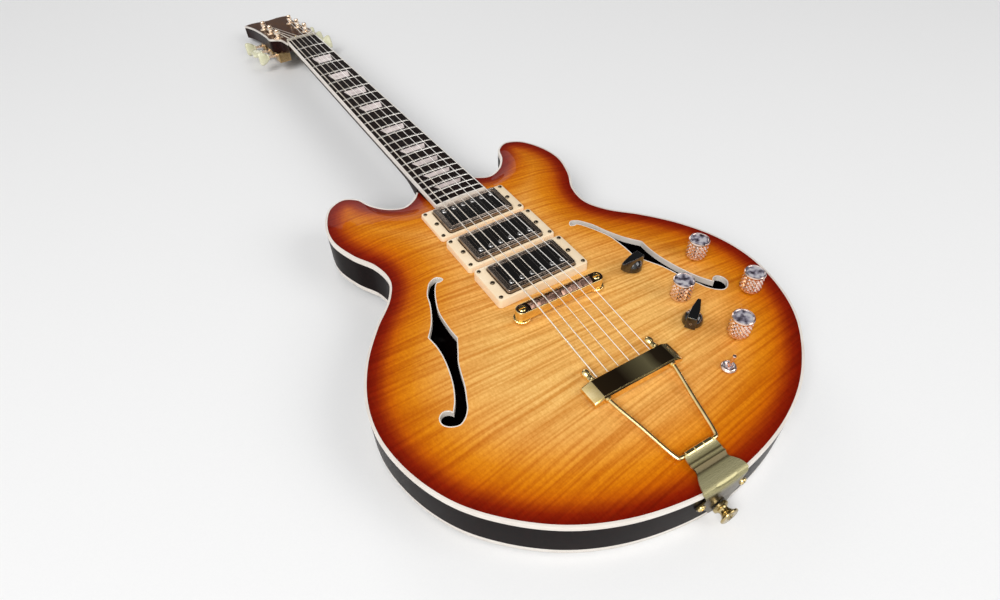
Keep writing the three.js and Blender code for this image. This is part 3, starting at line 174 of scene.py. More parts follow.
# %% A material and its nodes
class Finish:
    """Nodes with one Principled surface, in a new material or in a tree that is there already."""

    def __init__(self, name, tree=None):
        if not tree:
            self.material = bpy.data.materials.new(name)
            self.material.use_nodes = True
        self.tree = tree or self.material.node_tree
        self.tree.nodes.clear()

    def node(self, kind, settings=None, values=None, output=None):
        made = self.tree.nodes.new(kind)
        for name, setting in (settings or {}).items():
            if name == "stops":
                ramp = made.color_ramp
                while len(ramp.elements) < len(setting):
                    ramp.elements.new(1)
                for element, (place, colour) in zip(ramp.elements, setting):
                    element.position, element.color = place, colour
            else:
                setattr(made, name, setting)
        for key, value in (values or {}).items():
            named = [s for s in made.inputs if s.enabled and s.name == key]
            socket = made.inputs[key] if isinstance(key, int) else named[0]
            if isinstance(value, Field):
                self.tree.links.new(value.socket, socket)
            else:
                socket.default_value = value
        shown = [s for s in made.outputs if s.enabled]
        picked = [s for s in shown if s.name == output] or shown or [None]
        return Field(self, picked[0])

    def place(self, x=1.0, y=1.0, z=1.0):
        """The point on the surface in metres, stretched along each axis."""
        point = self.node("ShaderNodeTexCoord", output="Object")
        return self.node("ShaderNodeVectorMath", {"operation": "MULTIPLY"}, {0: point, 1: (x, y, z)})

    def axis(self, letter):
        """How far the point lies along one axis."""
        return self.node("ShaderNodeSeparateXYZ", {}, {"Vector": self.place()}, letter)

    def noise(self, where, scale=1.0, detail=2.0, roughness=0.5):
        values = {"Vector": where, "Scale": scale, "Detail": detail, "Roughness": roughness}
        return self.node("ShaderNodeTexNoise", {}, values, "Fac")

    def ramp(self, field, stops):
        """A row of colours; each stop is a place followed by red, green and blue."""
        painted = [(place, paint(*colour)) for place, *colour in stops]
        return self.node("ShaderNodeValToRGB", {"stops": painted}, {"Fac": field}, "Color")

    def span(self, field, low, high, to_low=0.0, to_high=1.0):
        values = {"Value": field, "From Min": low, "From Max": high, "To Min": to_low, "To Max": to_high}
        return self.node("ShaderNodeMapRange", {}, values, "Result")

    def mix(self, a, b, factor, how="MIX"):
        settings = {"data_type": "RGBA", "blend_type": how}
        return self.node("ShaderNodeMix", settings, {"Factor": factor, "A": a, "B": b}, "Result")

    def bump(self, height, strength, distance=0.0001):
        values = {"Height": height, "Strength": strength, "Distance": distance}
        return self.node("ShaderNodeBump", {}, values, "Normal")

    def surface(self, **sockets):
        values = {name.replace("_", " "): value for name, value in sockets.items()}
        shader = self.node("ShaderNodeBsdfPrincipled", {}, values, "BSDF")
        self.node("ShaderNodeOutputMaterial", {}, {"Surface": shader})
        return self.material


# %% [markdown]
# ## Floor and light
# A plain pale floor keeps the guitar's soft shadow. Two large soft lamps stand well out on the camera's
# side, so that neither the gloss top nor the floor throws a hot spot into the lens, and a dim one on the far
# side draws light along the bindings.
# %% Lamps
AIM = Vector((0.0, 0.15, 0.0))


def soft_lamp(name, place, size, power):
    lamp = bpy.data.lights.new(name, "AREA")
    lamp.size, lamp.energy = size, power
    holder = bpy.data.objects.new(name, lamp)
    bpy.context.scene.collection.objects.link(holder)
    aim = AIM - Vector(place)
    holder.matrix_world = Matrix.Translation(place) @ aim.to_track_quat("-Z", "Y").to_matrix().to_4x4()
    return holder


lamps = [soft_lamp("key_lamp", (-2.25, -1.65, 2.85), 2.25, 128),
         soft_lamp("fill_lamp", (1.95, -2.4, 2.25), 2.25, 49),
         soft_lamp("far_lamp", (0.6, 2.6, 1.2), 1.2, 8)]
print("lamps:", len(lamps))

# %% [markdown]
# ### The sky
# The sky does three jobs, one for each kind of ray. The camera sees a pale wall behind the guitar. Metal and
# lacquer mirror a room that is bright on the key lamp's side and dark on the other, because polish shows
# only where there is something dark to mirror. All the rest gets an even grey light.
# %% The sky
def grey(light):
    return (light, light, light, 1)


world = bpy.data.worlds.new("studio")
bpy.context.scene.world = world
world.use_nodes = True
sky = Finish("studio_sky", world.node_tree)
direction = sky.node("ShaderNodeTexCoord", output="Generated")
sides_compared = {0: direction, 1: (-0.85, -0.30, 0.43)}
towards_key = sky.node("ShaderNodeVectorMath", {"operation": "DOT_PRODUCT"}, sides_compared, "Value")
room_stops = [(0.02, grey(0.07)), (0.28, grey(0.30)), (0.75, grey(1.0))]
mirrored_room = sky.node("ShaderNodeValToRGB", {"stops": room_stops}, {"Fac": towards_key}, "Color")
camera_ray = sky.node("ShaderNodeLightPath", output="Is Camera Ray")
mirror_ray = camera_ray.also("Is Glossy Ray").maths("MAXIMUM", camera_ray.also("Is Transmission Ray"))
room = sky.mix((0.29, 0.29, 0.295, 1), mirrored_room, mirror_ray)
seen = sky.mix(room, grey(0.8), camera_ray)
backdrop = sky.node("ShaderNodeBackground", {}, {"Color": seen}, "Background")
sky.node("ShaderNodeOutputWorld", {}, {"Surface": backdrop})
print("the sky has", len(sky.tree.nodes), "nodes")

# %% The floor
paper = Finish("pale_paper")
fibres = paper.noise(paper.place(), 900, 3)
paper_tone = paper.mix(paint(238, 238, 238), paint(243, 243, 242), fibres)
floor_mesh = bpy.data.meshes.new("floor")
FLOOR_REACH, FLOOR_GAP = 12.0, 0.0002
level = cad_box[0].z - FLOOR_GAP
corners = [(x * FLOOR_REACH, y * FLOOR_REACH, level) for x, y in ((-1, -1), (1, -1), (1, 1), (-1, 1))]
floor_mesh.from_pydata(corners, [], [(0, 1, 2, 3)])
floor = bpy.data.objects.new("floor", floor_mesh)
floor_mesh.materials.append(paper.surface(Base_Color=paper_tone, Roughness=0.75))
bpy.context.scene.collection.objects.link(floor)
print("the floor lies at", round(level * 1000, 2), "mm")

# %% [markdown]
# ## Forms in mesh code
# A form is a list of points and faces in millimetres. Most of the guitar's parts are skins over rings of
# points: bodies, bindings, necks, strings and turned metal alike. One function skins rings, and the others
# only lay the rings out.
# %% Forms and skins
class Form:
    def __init__(self, points=(), faces=()):
        self.points, self.faces = [Vector(p) for p in points], [list(f) for f in faces]

    def add(self, other, matrix=None):
        start = len(self.points)
        self.points += [matrix @ p if matrix else p.copy() for p in other.points]
        self.faces += [[start + i for i in face] for face in other.faces]
        return self


def skin(rings, looped=False, ends=True):
    """Faces between neighbouring closed rings; looped joins the last ring to the first."""
    count = len(rings[0])
    points = [p for ring in rings for p in ring]
    faces = []
    for r in range(len(rings) - (0 if looped else 1)):
        start, after = r * count, ((r + 1) % len(rings)) * count
        for i in range(count):
            k = (i + 1) % count
            faces.append((start + i, start + k, after + k, after + i))
    if ends and not looped:
        faces.append(range(count - 1, -1, -1))
        faces.append(range(len(points) - count, len(points)))
    return Form(points, faces)


def prism(outline, low, high):
    return skin([[(p[0], p[1], z) for p in outline] for z in (low, high)])


def block(x0, x1, y0, y1, z0, z1):
    return prism([(x0, y0), (x1, y0), (x1, y1), (x0, y1)], z0, z1)


print("a block has", len(block(0, 1, 0, 1, 0, 1).faces), "faces")


# %% Round forms
def spokes(count):
    """Directions round a circle, as pairs of cosine and sine."""
    return [(math.cos(TURN * k / count), math.sin(TURN * k / count)) for k in range(count)]


def lathe(profile, sides=32):
    """A piece turned about Z; the profile is pairs of radius and height."""
    return skin([[(radius * c, radius * s, height) for c, s in spokes(sides)] for radius, height in profile])


def tube(path, radius, sides=12):
    """A round tube along points."""
    path = [Vector(p) for p in path]
    tangents = []
    for i, place in enumerate(path):
        into = (place - path[max(i - 1, 0)]).normalized()
        out = (path[min(i + 1, len(path) - 1)] - place).normalized()
        tangents.append((into + out).normalized())
    side = tangents[0].orthogonal().normalized()
    rings = []
    for place, along in zip(path, tangents):
        side = (side - along * side.dot(along)).normalized()
        across = along.cross(side)
        rings.append([place + (side * c + across * s) * radius for c, s in spokes(sides)])
    return skin(rings)


def rounded(length, width, corner, steps=5):
    """A rectangle with round corners, about the origin."""
    outline = []
    for quarter, (sx, sy) in enumerate([(1, -1), (1, 1), (-1, 1), (-1, -1)]):
        for k in range(steps + 1):
            angle = math.pi / 2 * (quarter - 1 + k / steps)
            x = sx * (length / 2 - corner) + corner * math.cos(angle)
            outline.append((x, sy * (width / 2 - corner) + corner * math.sin(angle)))
    return outline


print("a test tube has", len(tube([(0, 0, 0), (0, 0, 9), (0, 4, 14)], 2).faces), "faces")

# %% [markdown]
# ### From a form to a piece
# Sharp edges are marked by their angle and get a small bevel, because real edges catch the light. Some
# forms are carved out of another one with a boolean. Each finished piece rides on a body of the frame, so
# that it moves with that body's joint.
# %% Meshes, carving and building
def mesh_object(name, form, space=Matrix(), weld=1e-4):
    mesh = bpy.data.meshes.new(name)
    mesh.from_pydata([space @ p for p in form.points], [], form.faces)
    shape = bmesh.new()
    shape.from_mesh(mesh)
    bmesh.ops.remove_doubles(shape, verts=shape.verts, dist=weld)
    bmesh.ops.recalc_face_normals(shape, faces=shape.faces)
    shape.to_mesh(mesh)
    shape.free()
    made = bpy.data.objects.new(name, mesh)
    bpy.context.scene.collection.objects.link(made)
    return made


def cut(form, cutter):
    """One form with another carved out of it."""
    whole, tool = mesh_object("whole", form), mesh_object("tool", cutter)
    step = whole.modifiers.new("carve", "BOOLEAN")
    step.object, step.operation, step.solver = tool, "DIFFERENCE", "EXACT"
    carved = bpy.data.meshes.new_from_object(whole.evaluated_get(bpy.context.evaluated_depsgraph_get()))
    made = Form([v.co for v in carved.vertices], [face.vertices for face in carved.polygons])
    for spent in (whole, tool):
        bpy.data.objects.remove(spent)
    bpy.data.meshes.remove(carved)
    return made


def build(name, form, look, space=GUITAR, body="guitar_body", bevel=0.0, crease=35, stands_for=(),
          top_look=None):
    """Makes a piece, marks its sharp edges, bevels them and lets it ride on its body."""
    made = mesh_object(name, form, space, 1e-7)
    shape = bmesh.new()
    shape.from_mesh(made.data)
    for face in shape.faces:
        face.smooth = True
    for edge in shape.edges:
        edge.smooth = len(edge.link_faces) == 2 and edge.calc_face_angle(0) < math.radians(crease)
    shape.to_mesh(made.data)
    shape.free()
    made.data.materials.clear()
    made.data.materials.append(look)
    if top_look:
        made.data.materials.append(top_look)
        for face in made.data.polygons:
            face.material_index = 1 if face.normal.z > 0.95 else 0
    if bevel:
        edge_step = made.modifiers.new("soft_edges", "BEVEL")
        edge_step.width, edge_step.segments = bevel * MM, 2
        edge_step.limit_method, edge_step.angle_limit = "ANGLE", math.radians(crease)
        edge_step.harden_normals = True
    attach(made, body)
    if stands_for:
        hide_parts(*stands_for)
    return made


# %% [markdown]
# ## Curves in plan
# Outlines are tables of points that a smooth curve passes through. The spline is centripetal, so it doesn't
# overshoot at the tight turns of the horns. Offsetting a ring keeps its corners mitred.
# %% Smooth curves
def smooth(points, steps):
    points = [Vector((p[0], p[1])) for p in points]
    made = []
    for i in range(len(points) - 1):
        b, c = points[i], points[i + 1]
        a = points[i - 1] if i else 2 * b - c
        d = points[i + 2] if i + 2 < len(points) else 2 * c - b
        t0, t1, t2 = [max((q - p).length, 1e-6) ** 0.5 for p, q in ((a, b), (b, c), (c, d))]
        m1 = ((b - a) / t0 - (c - a) / (t0 + t1) + (c - b) / t1) * t1
        m2 = ((c - b) / t1 - (d - b) / (t1 + t2) + (d - c) / t2) * t1
        for k in range(steps):
            t = k / steps
            rise = t * t * (3 - 2 * t)
            made.append(b + (c - b) * rise + m1 * t * (1 - t) ** 2 - m2 * t * t * (1 - t))
    return made + [points[-1]]


def smooth_loop(points, corners, steps):
    """A closed curve that stays sharp at the numbered corners."""
    made = []
    for start, end in zip(corners, corners[1:] + [corners[0] + len(points)]):
        run = [points[i % len(points)] for i in range(start, end + 1)]
        made += smooth(run, steps)[:-1]
    return made


def spread(shares, across, along):
    """Shares of a width and a length, turned into points."""
    return [Vector((x * across, y * along)) for x, y in shares]


def flipped(half):
    return [Vector((-p.x, p.y)) for p in reversed(half)]


def evenly(half, steps):
    """Even places from +half to -half."""
    return [half - 2 * half * k / steps for k in range(steps + 1)]


# %% Offsets and levels
def inset(ring, distance):
    """An anticlockwise ring moved inwards."""
    made = []
    for i, place in enumerate(ring):
        before, after = ring[i - 1], ring[(i + 1) % len(ring)]
        into = Vector((before.y - place.y, place.x - before.x)).normalized()
        out = Vector((place.y - after.y, after.x - place.x)).normalized()
        turn = into + out
        made.append(place + turn * (2 * distance / turn.length_squared))
    return made


def levels(outline, steps):
    """An outline drawn in at several heights; the steps are pairs of inset and height."""
    flat = [Vector(p) for p in outline]
    return [[p.to_3d() + Vector((0, 0, z)) for p in inset(flat, distance)] for distance, z in steps]


def strip(ring, profile, looped=True):
    """A profile of (inset, height) pairs carried along a ring."""
    return skin(list(zip(*levels(ring, profile))), looped=looped)


# %% [markdown]
# ### The outline of the body
# The rim and the edge of the arch are each drawn as one half in four runs: tail, flank, horn and cutaway.
# Each run is kept as shares of its own width and length, so a run can be stretched without drawing it again.
# %% Rings of the rim and of the arch
tail_shares = [(0, -1), (0.205, -0.98), (0.411, -0.927), (0.595, -0.841), (0.762, -0.714), (0.886, -0.572),
               (0.968, -0.395), (1, -0.203), (0.973, -0.03)]
flank_shares = [(0.73, 0.274), (0.434, 0.566), (0.132, 0.802), (0, 1)]
horn_shares = [(0.848, 0.537), (0.939, 0.636), (1, 0.76), (0.97, 0.872), (0.867, 0.971), (0.738, 1),
               (0.635, 0.965), (0.582, 0.897)]
cutaway_shares = [(0.494, 0.958), (0.38, 0.927), (0.274, 0.958)]
crown_tail_shares = [(0, -0.658), (0.119, -0.648), (0.238, -0.618), (0.346, -0.567), (0.449, -0.491),
                     (0.524, -0.39), (0.573, -0.268), (0.589, -0.137), (0.573, -0.01)]
crown_flank_shares = [(0.881, 0.208), (0.752, 0.425), (0.615, 0.642), (0.569, 0.887)]
crown_horn_shares = [(0.502, 0.479), (0.593, 0.57), (0.669, 0.661), (0.684, 0.711), (0.677, 0.744),
                     (0.639, 0.756), (0.593, 0.748)]
crown_cutaway_shares = [(0.532, 0.83), (0.441, 0.807), (0.335, 0.792), (0.243, 0.788), (0.183, 0.792)]
BOUT, TAIL, WAIST, WAIST_REACH, HORN, HORN_REACH, JOIN = 185, 197.5, 109, 106, 131.5, 242, 212
NECK_HALF = 28
flank = [Vector((WAIST + (BOUT - WAIST) * x, WAIST_REACH * y)) for x, y in flank_shares]
rim_half = spread(tail_shares, BOUT, TAIL) + flank + spread(horn_shares, HORN, HORN_REACH)
rim_half += spread(cutaway_shares, HORN, JOIN) + [Vector((NECK_HALF, JOIN))]
crown_half = spread(crown_tail_shares, BOUT, TAIL) + spread(crown_flank_shares, WAIST, WAIST_REACH)
crown_half += spread(crown_horn_shares, HORN, HORN_REACH) + spread(crown_cutaway_shares, HORN, JOIN)
body_ring, crown_ring = [smooth(flipped(half) + half[1:], 8) for half in (rim_half, crown_half)]
print("the body is", round(2 * max(p.x for p in body_ring), 1), "mm wide in", len(body_ring), "points")

# %% [markdown]
# ## Arched plates
# The top and the back are pressed plates: flat at the rim, rising over a hand's width and nearly flat in
# the middle. Rings go from the edge to the crown on a cosine and then run in towards a spine, so that the
# mesh is fine enough everywhere to carry the colour of the burst.
# %% The plates
SPINE_TAIL, SPINE_NECK = -60, 110


def plate_rings(edge, edge_height, crown_height, steps=10):
    rings = []
    for k in range(steps + 1):
        share = k / steps
        height = edge_height + (crown_height - edge_height) * (1 - math.cos(math.pi * share)) / 2
        rings.append([p.lerp(q, share).to_3d() + Vector((0, 0, height)) for p, q in zip(edge, crown_ring)])
    spine = [Vector((0, min(max(q.y, SPINE_TAIL), SPINE_NECK))) for q in crown_ring]
    lift = Vector((0, 0, crown_height))
    for share in (0.15, 0.3, 0.45, 0.6, 0.75, 0.9):
        rings.append([q.lerp(s, share).to_3d() + lift for q, s in zip(crown_ring, spine)])
    return rings


def arched_plate(low_edge, low_crown, high_edge, high_crown):
    edge = inset(body_ring, 2.1)
    return skin(plate_rings(edge, low_edge, low_crown)[::-1] + plate_rings(edge, high_edge, high_crown))


TOP_THICK = 4.6
top_form = arched_plate(RIM_TOP - TOP_THICK, CROWN - TOP_THICK, RIM_TOP, CROWN)
top_tree = BVHTree.FromPolygons([tuple(p) for p in top_form.points], top_form.faces)


def top_height(x, y):
    hit = top_tree.ray_cast(Vector((x, y, 100)), Vector((0, 0, -1)))[0]
    return hit.z if hit else RIM_TOP


print("the top stands", round(top_height(0, 0), 2), "mm high in its middle")

# %% [markdown]
# ## Finishes
# ### Flame maple under a sunburst
# The burst is sprayed by hand: amber in the middle, through orange, to cherry at the edge. Its colour follows
# the distance from the rim, which each point of the top carries as an attribute. Flame is the ripple of the
# grain, so it is noise that is very long across the body and short along it, bent a little, and it darkens
# the amber more than the cherry. A clear coat gives the gloss.
# %% Flame maple
def wood_ripple(finish, pitch, length, sway):
    """Stripes across the guitar that fan out towards the tail: noise short along Y and long along X."""
    across = finish.axis("X")
    along = across.also("Y")
    slant = finish.span(along, -0.13, 0.0, -0.15, 0.09)
    bend = (finish.noise(finish.place(), 11, 1) - 0.5) * sway
    values = {"X": across * (1 / length), "Y": (along + across * slant + bend) * (1 / pitch), "Z": 0.0}
    return finish.node("ShaderNodeCombineXYZ", {}, values, "Vector")


def maple_look():
    wood = Finish("sunburst_flame_maple")
    away = wood.node("ShaderNodeAttribute", {"attribute_name": "from_rim"}, {}, "Fac")
    cloud = wood.noise(wood.place(), 14, 2) - 0.5
    burst = wood.ramp(away + cloud * 0.03, [
        (0.04, 124, 16, 1), (0.09, 144, 34, 2), (0.14, 172, 66, 2), (0.19, 204, 102, 3), (0.26, 218, 126, 8),
        (0.36, 228, 144, 26), (0.48, 236, 162, 60), (0.64, 244, 182, 96), (1.0, 252, 204, 124)])
    fine = wood.noise(wood_ripple(wood, 0.0026, 0.09, 0.003), 1.0, 1, 0.5)
    broad = wood.noise(wood_ripple(wood, 0.010, 0.12, 0.006), 1.0, 1, 0.5)
    figure = wood.span(fine * 0.7 + broad * 0.3, 0.36, 0.60)
    streaks = wood.noise(wood.place(1100, 26, 1100), 1.0, 3, 0.6)
    shade = wood.mix(paint(218, 184, 134), paint(255, 253, 248), figure)
    flamed = wood.mix(burst, shade, 0.85, "MULTIPLY")
    fleck = wood.span(wood.noise(wood.place(520, 300, 520), 1.0, 3, 0.7), 0.3, 0.7)
    flecked = wood.mix(flamed, wood.mix(paint(232, 216, 190), paint(255, 255, 255), fleck), 0.9, "MULTIPLY")
    grained = wood.mix(flecked, paint(150, 84, 30), wood.span(streaks, 0.35, 0.75, 0.0, 0.06))
    swell = wood.bump(wood.noise(wood.place(), 55, 2), 0.04, 0.0008)
    return wood.surface(Base_Color=grained, Roughness=wood.span(streaks, 0, 1, 0.42, 0.55), Normal=swell,
                        Coat_Weight=0.26, Coat_Roughness=0.03, Coat_IOR=1.32, Specular_IOR_Level=0.03)


maple = maple_look()
print("the maple has", len(maple.node_tree.nodes), "nodes")

# %% [markdown]
# ### Dark stained wood, bare wood and the fingerboard
# Sides, back and neck are stained nearly black under the same gloss, and the grain shows only as a slightly
# warmer streak. The fingerboard is open-pored and not lacquered, so its pores are cut by a bump and its
# roughness is high.
# %% Other woods
def stained_look(name, deep, warm, stretch):
    wood = Finish(name)
    grain = wood.noise(wood.place(*stretch), 1.0, 4, 0.6)
    broad = wood.noise(wood.place(20, 6, 20), 1.0, 2)
    tone = wood.mix(paint(*deep), paint(*warm), wood.span(grain * 0.7 + broad * 0.3, 0.38, 0.72))
    swell = wood.bump(wood.noise(wood.place(), 60, 2), 0.05, 0.0008)
    return wood.surface(Base_Color=tone, Roughness=wood.span(grain, 0, 1, 0.3, 0.42), Normal=swell,
                        Coat_Weight=0.10, Coat_Roughness=0.06, Coat_IOR=1.3, Specular_IOR_Level=0.02)


def bare_look(name, pale, brown, stretch, roughness):
    wood = Finish(name)
    grain = wood.noise(wood.place(*stretch), 1.0, 4, 0.65)
    tone = wood.mix(paint(*pale), paint(*brown), wood.span(grain, 0.35, 0.7))
    pores = wood.bump(grain, 0.25, 0.0003)
    rough = wood.span(grain, 0, 1, roughness - 0.08, roughness + 0.1)
    return wood.surface(Base_Color=tone, Roughness=rough, Normal=pores, Specular_IOR_Level=0.06)


# Outside a real dark stain; on the inside faces and linings the same dark colour is painted shade.
dark_wood = stained_look("dark_stain_and_painted_inner_shade", (9, 5, 5), (26, 12, 11), (16, 260, 260))
neck_wood = stained_look("dark_stained_neck", (19, 9, 8), (50, 22, 18), (420, 14, 420))
block_wood = bare_look("plain_block_wood", (186, 150, 104), (150, 112, 70), (300, 9, 300), 0.7)
board_wood = bare_look("oiled_board_wood", (11, 7, 7), (33, 20, 17), (900, 40, 900), 0.58)
head_black = stained_look("head_face_lacquer", (54, 29, 18), (98, 62, 32), (300, 10, 300))
print("the woods make it", len(bpy.data.materials), "finishes")

# %% [markdown]
# ### Plastics
# Binding, rings and nut are cream, never quite even, and the nut's cream is greyed as painted shade. Buttons
# are a paler, slightly green pearl plastic.
# Pointers and the rod cover are black with a soft shine and faint polishing marks. The plate inside a pickup
# cover's border is nearly black, a painted reflection of a dark room in the cover's metal, so it shows little
# but what its coat mirrors.
# %% Plastics
def plastic_look(name, tone, shade, roughness, scale=60, coat=0.3):
    stuff = Finish(name)
    cloud = stuff.noise(stuff.place(), scale, 3)
    speck = stuff.noise(stuff.place(), scale * 25, 2)
    colour = stuff.mix(paint(*tone), paint(*shade), stuff.span(cloud * 0.8 + speck * 0.2, 0.3, 0.72))
    orange_peel = stuff.bump(stuff.noise(stuff.place(), scale * 8, 2), 0.05, 0.0003)
    rough = stuff.span(speck, 0.3, 0.7, roughness - 0.04, roughness + 0.05)
    return stuff.surface(Base_Color=colour, Roughness=rough, Normal=orange_peel, Coat_Weight=coat,
                         Coat_Roughness=0.08)


cream = plastic_look("cream_binding", (232, 225, 216), (219, 208, 197), 0.30)
ring_cream = plastic_look("cream_ring", (250, 230, 198), (244, 218, 180), 0.32)
# The nut's cream is greyed: painted shade.
bone_greyed_by_painted_shade = plastic_look("nut_bone_painted_shade", (196, 188, 174), (170, 160, 144), 0.35, 220)
button_pearl = plastic_look("pearl_button", (230, 227, 197), (208, 206, 170), 0.25, 90, 0.4)
black_knob = plastic_look("black_knob", (7, 7, 8), (15, 15, 17), 0.16, 90, 1.0)
cover_black = plastic_look("black_cover", (16, 14, 14), (28, 25, 24), 0.25, 120, 0.5)
# Nearly black: a painted reflection of a dark room in each pickup cover's metal.
pickup_plate_painted_reflection = plastic_look("pickup_plate_painted_dark_reflection", (10, 8, 8), (17, 13, 12), 0.06, 70, 1.0)
print("the plastics make it", len(bpy.data.materials), "finishes")

# %% [markdown]
# ### Metals
# Gold plate, bright chrome, nickel covers and string steel differ in colour and in how fine their polish is.
# Each gets a cloudy roughness, as fingers leave, and faint scratches in its bump. The strings are less
# metallic than steel is and nearly white, a painted highlight, so that such thin lines don't turn dark.
# %% Plain metals
def metal_look(name, tone, shade, smoothest, roughest, scale=120, metallic=1.0):
    metal = Finish(name)
    smear = metal.noise(metal.place(), scale, 3)
    fine = metal.noise(metal.place(*[scale * 18] * 3), 1.0, 2)
    colour = metal.mix(paint(*tone), paint(*shade), metal.span(smear, 0.35, 0.7))
    scratch = metal.bump(fine, 0.03)
    rough = metal.span(smear * 0.6 + fine * 0.4, 0.3, 0.7, smoothest, roughest)
    return metal.surface(Base_Color=colour, Metallic=metallic, Normal=scratch, Roughness=rough)


gold = metal_look("gold_plate", (246, 224, 168), (228, 198, 128), 0.10, 0.20)
rose_gold = metal_look("rose_gold_plate", (250, 226, 200), (236, 204, 172), 0.14, 0.26)
case_gold = metal_look("aged_case_gold", (204, 174, 128), (156, 126, 84), 0.22, 0.36)
# Darker than the other gold: painted shade for the dark room that the buttons mirror.
strap_gold = metal_look("strap_button_plate", (196, 176, 128), (138, 120, 82), 0.12, 0.24)
# The bridge bar's flat top: gold drawn dark bronze, a painted reflection of a dark room.
bridge_top_painted_reflection = metal_look("bridge_top_painted_dark_reflection", (126, 98, 78), (84, 62, 50), 0.18, 0.32)
chrome = metal_look("bright_chrome", (226, 224, 226), (208, 204, 208), 0.05, 0.13)
rose_chrome = metal_look("rose_chrome", (246, 224, 212), (228, 198, 182), 0.14, 0.24)
nickel = metal_look("cover_nickel", (168, 154, 142), (134, 120, 108), 0.16, 0.30)
fret_metal = metal_look("fret_nickel", (222, 218, 212), (196, 190, 184), 0.14, 0.24)
screw_metal = metal_look("screw_nickel", (120, 108, 90), (84, 74, 60), 0.2, 0.35)
saddle_metal = metal_look("saddle_nickel", (176, 140, 122), (98, 70, 60), 0.22, 0.4, 260)
steel = metal_look("plain_steel", (178, 176, 174), (146, 144, 142), 0.22, 0.36)
# Nearly white and hardly metallic: a painted highlight along the thin plain strings.
string_plain = metal_look("string_plain", (255, 252, 246), (250, 244, 234), 0.3, 0.45, 200, 0.2)
print("the metals make it", len(bpy.data.materials), "finishes")

# %% [markdown]
# ### Metals with painted reflections
# In the photograph a dark room stands in the knob tops, in the tail bar and in the folds of the bracket. A
# pale scene can't give those reflections, so these three finishes carry them as light and dark patches of
# colour. They stay where they are when the view turns, which is the price of it.
# %% Knob tops, bar plate and bracket
def knob_top_look():
    """Chrome with a painted reflection of a cloudy room: lilac grey with darker and brighter patches."""
    metal = Finish("knob_top_painted_reflection")
    patch = metal.noise(metal.place(), 210, 2, 0.4)
    tone = metal.ramp(patch, [
        (0.34, 66, 60, 70), (0.44, 142, 134, 150), (0.52, 206, 200, 214), (0.62, 252, 248, 252)])
    fine = metal.noise(metal.place(), 4000, 2)
    return metal.surface(Base_Color=tone, Metallic=0.55, Roughness=metal.span(patch, 0.3, 0.7, 0.34, 0.16),
                         Normal=metal.bump(fine, 0.03))


def bar_plate_look():
    """Plating with a painted reflection of a dark room: dark, with one soft clearer patch right of its
    middle.
    """
    metal = Finish("bar_plate_painted_reflection")
    across = metal.axis("X")
    cloud = metal.noise(metal.place(), 90, 2) - 0.5
    tone = metal.ramp((across + 0.042 + cloud * 0.004) * 12, [
        (0.0, 46, 34, 16), (0.36, 34, 24, 12), (0.52, 84, 76, 52), (0.66, 112, 104, 74), (0.76, 44, 34, 20),
        (1.0, 24, 17, 8)])
    fine = metal.noise(metal.place(4000, 800, 4000), 1.0, 2)
    return metal.surface(Base_Color=tone, Metallic=0.45, Roughness=metal.span(fine, 0.3, 0.7, 0.08, 0.16),
                         Normal=metal.bump(fine, 0.03))


def bracket_look():
    """Brushed sheet gold with painted reflections: dark bands across the plates at the step and the fold, and
    a darker, more metallic apron.
    """
    metal = Finish("bracket_gold_painted_reflections")
    along = metal.axis("Y")
    height = along.also("Z")
    cloud = (metal.noise(metal.place(30, 120, 60), 1.0, 2) - 0.5) * 0.05
    # Painted reflections: light and dark bands along the fold.
    plates = metal.ramp(metal.span(along, -0.1686, -0.1986) + cloud, [
        (0.0, 206, 196, 150), (0.22, 178, 168, 122), (0.27, 84, 74, 46), (0.32, 204, 194, 148),
        (0.39, 92, 80, 50), (0.52, 80, 70, 44), (0.60, 184, 176, 132), (0.78, 198, 190, 146),
        (1.0, 160, 152, 110)])
    # Painted reflection: the apron darkens and turns fully metallic from 41 mm down to 33 mm.
    lower = metal.span(height, 0.041, 0.033)
    tone = metal.mix(plates, paint(78, 66, 40), lower)
    fine = metal.noise(metal.place(300, 9000, 3000), 1.0, 2)
    metallic = lower * 0.4 + 0.6
    rough = metal.span(fine, 0.3, 0.7, 0.22, 0.32)
    return metal.surface(Base_Color=tone, Metallic=metallic, Roughness=rough, Normal=metal.bump(fine, 0.04))


bar_plate, knob_top, bracket_gold = bar_plate_look(), knob_top_look(), bracket_look()
print("the bracket's finish has", len(bracket_gold.node_tree.nodes), "nodes")

# %% [markdown]
# ### Wound strings and pearl
# A wound string is a ripple along its length, one wave for each turn of the wire, with painted shade in each
# groove and a nearly white crest as painted highlight. Pearl inlay is layered, so it is a soft cell pattern
# with a swirl in it, under a coat, and a little metallic where the cells meet.
# %% Windings and pearl
def wound_look(pitch=0.0004):
    metal = Finish("string_wound")
    turn = (metal.axis("Y") * (TURN / pitch)).maths("SINE")
    # Painted shade and highlight: darker in each groove between turns, nearly white on each crest.
    tone = metal.mix(paint(222, 208, 188), paint(255, 248, 236), metal.span(turn, -1, 1))
    return metal.surface(Base_Color=tone, Metallic=0.3, Roughness=metal.span(turn, -1, 1, 0.34, 0.24),
                         Normal=metal.bump(turn, 0.5))


